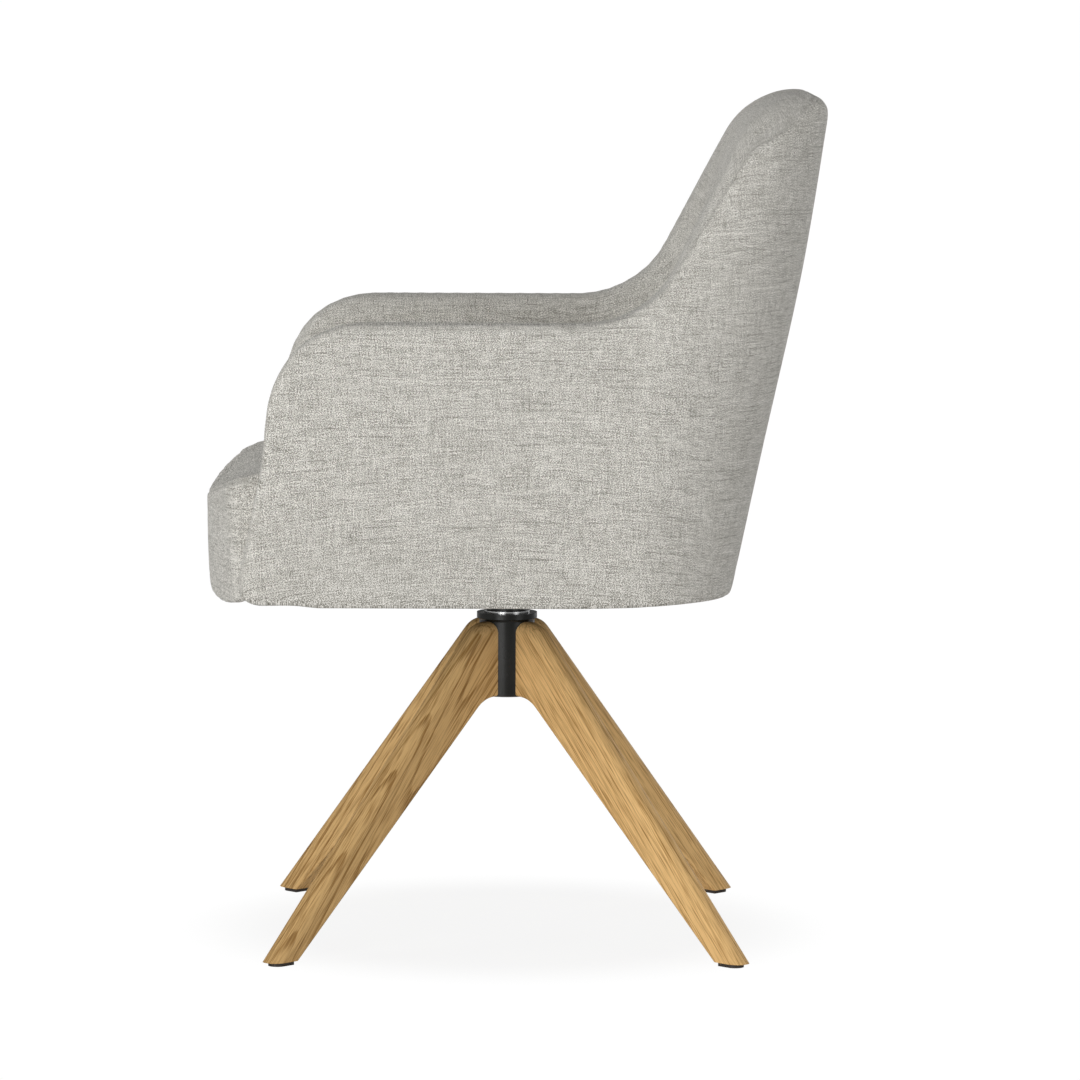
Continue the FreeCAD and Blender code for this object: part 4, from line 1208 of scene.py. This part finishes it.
@dataclass
class Base:
    """The hub, the legs and everything on them, which keep their solids."""

    frame: dict

    def dress(self) -> None:
        """Gives each rigid part of the frame its material."""
        fasteners = (
            "glide_nails",
            "leg_inserts",
            "leg_washers",
            "leg_bolts",
            "plate_bolts",
            "board_tee_nuts",
            "frame_screws",
        )
        bearing = ("bearing_race_lower", "bearing_race_upper", "bearing_balls")
        mouldings = (
            "bottom_cap",
            "glide_front_left",
            "glide_rear_left",
            "glide_rear_right",
            "glide_front_right",
        )
        groups = (
            (PaintedSteel("black_powder_coat"), ("hub_column", "bearing_plug", "spindle", "seat_plate")),
            (BareSteel("zinc_plate", (0.52, 0.52, 0.50), 0.38), fasteners),
            (BareSteel("ground_steel", (0.62, 0.62, 0.62), 0.22), bearing),
            (BareSteel("turned_steel", (0.50, 0.50, 0.50), 0.34), ("thrust_washer", "retaining_ring")),
            (Moulding("black_moulding", (0.020, 0.014, 0.010)), mouldings),
            (Moulding("pale_moulding", (0.56, 0.54, 0.48)), ("upper_bush", "lower_bush", "bearing_cage")),
            (Plywood("birch_plywood"), ("bottom_board",)),
            # Each oak's fifth argument, its shade, is painted light: the rear legs are made brighter and
            # the front legs darker, for how the light falls on each.
            (Oak("oak_front_left", 315, Figure.CATHEDRAL, 1.3, 0.94), ("leg_front_left",)),
            (Oak("oak_rear_left", 45, Figure.STRAIGHT, 7.9, 1.21, 0.30), ("leg_rear_left",)),
            (Oak("oak_rear_right", 135, Figure.STRAIGHT, 15.1, 1.15, 0.30), ("leg_rear_right",)),
            (Oak("oak_front_right", 225, Figure.CATHEDRAL, 22.4, 0.96), ("leg_front_right",)),
        )
        for finish, names in groups:
            material = finish.material()
            for name in names:
                node = self.frame["nodes"][name]
                node.data.materials.clear()
                node.data.materials.append(material)
                LOG.info("dressed %s with %s", name, material.name)


# The studio


@dataclass(frozen=True)
class Lamp:
    """A square area lamp that faces the chair: its place, the length of its side and its watts."""

    name: str
    place: Point
    size: float
    power: float
    aim: Point = (0.0, 0.0, 0.45)

    def hang(self) -> None:
        """Puts the lamp up."""
        light = bpy.data.lights.new(self.name, "AREA")
        light.size = self.size
        light.energy = self.power
        lamp = bpy.data.objects.new(self.name, light)
        bpy.context.scene.collection.objects.link(lamp)
        lamp.location = self.place
        lamp.rotation_euler = (Vector(self.aim) - Vector(self.place)).to_track_quat("-Z", "Y").to_euler()


@dataclass
class Studio:
    """The white floor and backdrop, the lamps and the camera."""

    eye: Point = (5.8104, -0.0110, 1.0088)
    target: Point = (0.0, 0.0331, 0.3964)
    lens: float = 192.53
    roll: float = math.radians(0.25)
    sensor: float = 36.0
    sight: Span = (0.1, 100.0)
    floor_size: float = 60.0
    floor_grey: Colour = (0.88, 0.88, 0.88)
    floor_roughness: float = 0.9
    shadow_edge: Span = (0.20, 0.36)
    shadow_share: float = 0.15
    white: float = 1.01
    soft_light: float = 0.30
    lamps: tuple[Lamp, ...] = (
        Lamp("key", (5.4, -2.5, 0.9), 3.0, 196.0),
        Lamp("front", (1.6, -4.9, 2.0), 2.5, 58.0),
        Lamp("fill", (4.6, 4.8, 1.1), 2.5, 82.0),
        Lamp("rear", (-4.0, 3.0, 1.4), 2.5, 48.0),
    )

    def build(self) -> None:
        """Makes the floor, the light and the camera."""
        self.floor()
        self.world()
        for lamp in self.lamps:
            lamp.hang()
        self.camera()

    def floor(self) -> None:
        """Makes the floor, white to the camera apart from the object's own shadow."""
        deselect()
        bpy.ops.mesh.primitive_plane_add(size=self.floor_size, location=(0, 0, 0))
        floor = bpy.context.object
        floor.name = "studio_floor"
        graph = MaterialGraph("white_floor")
        x, y, _ = graph.axes(graph.object_place())
        near = 1 - (x * x + y * y).root().above(*self.shadow_edge)
        path = graph.node("ShaderNodeLightPath", {}, {})
        graph.surface(self.floor_grey, self.floor_roughness)
        glow = graph.node("ShaderNodeEmission", {}, {"Color": (1, 1, 1, 1), "Strength": self.white})
        share = Channel(graph, path.outputs["Is Camera Ray"]) * (1 - near * self.shadow_share)
        parts = {0: share, 1: graph.shader.outputs[0], 2: glow.outputs[0]}
        mixed = graph.node("ShaderNodeMixShader", {}, parts)
        graph.feed(graph.output.inputs["Surface"], mixed.outputs[0])
        floor.data.materials.append(graph.material)

    def world(self) -> None:
        """Makes the world white to the camera and soft grey as a light."""
        world = bpy.data.worlds.new("studio_world")
        bpy.context.scene.world = world
        world.use_nodes = True
        graph = Graph(world.node_tree)
        path = graph.node("ShaderNodeLightPath", {}, {})
        rays = {0: path.outputs["Is Camera Ray"], 1: path.outputs["Is Transmission Ray"]}
        seen = graph.node("ShaderNodeMath", {"operation": "MAXIMUM"}, rays)
        strengths = {"Value": seen.outputs[0], "To Min": self.soft_light, "To Max": self.white}
        strength = graph.node("ShaderNodeMapRange", {}, strengths)
        background = graph.find("BACKGROUND")
        graph.feed(background.inputs["Color"], (1.0, 1.0, 1.0))
        graph.feed(background.inputs["Strength"], strength.outputs[0])

    def camera(self) -> None:
        """Adds the camera at the photograph's angle."""
        lens = bpy.data.cameras.new("photo_camera")
        lens.sensor_width = self.sensor
        lens.lens = self.lens
        lens.clip_start, lens.clip_end = self.sight
        camera = bpy.data.objects.new("photo_camera", lens)
        bpy.context.scene.collection.objects.link(camera)
        camera.location = self.eye
        look = (Vector(self.target) - Vector(self.eye)).to_track_quat("-Z", "Y").to_matrix().to_4x4()
        camera.rotation_euler = (look @ Matrix.Rotation(self.roll, 4, "Z")).to_euler()
        bpy.context.scene.camera = camera


def main() -> None:
    """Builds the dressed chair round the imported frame."""
    logging.basicConfig(level=logging.INFO, format="%(name)s: %(message)s")
    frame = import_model()
    bpy.context.scene.view_settings.view_transform = "Standard"

    Base(frame).dress()
    for sub_assembly in (
        ArmchairTub(frame, WovenCloth("melange_tub")),
        SeatCushion(frame, WovenCloth("melange_seat", seed=3.7)),
        DustCover(frame, SpunCloth("spun_cloth")),
    ):
        piece = sub_assembly.build()
        LOG.info("built %s with %d faces", piece.name, len(piece.data.polygons))
    Studio().build()


if __name__ == "__main__":
    main()
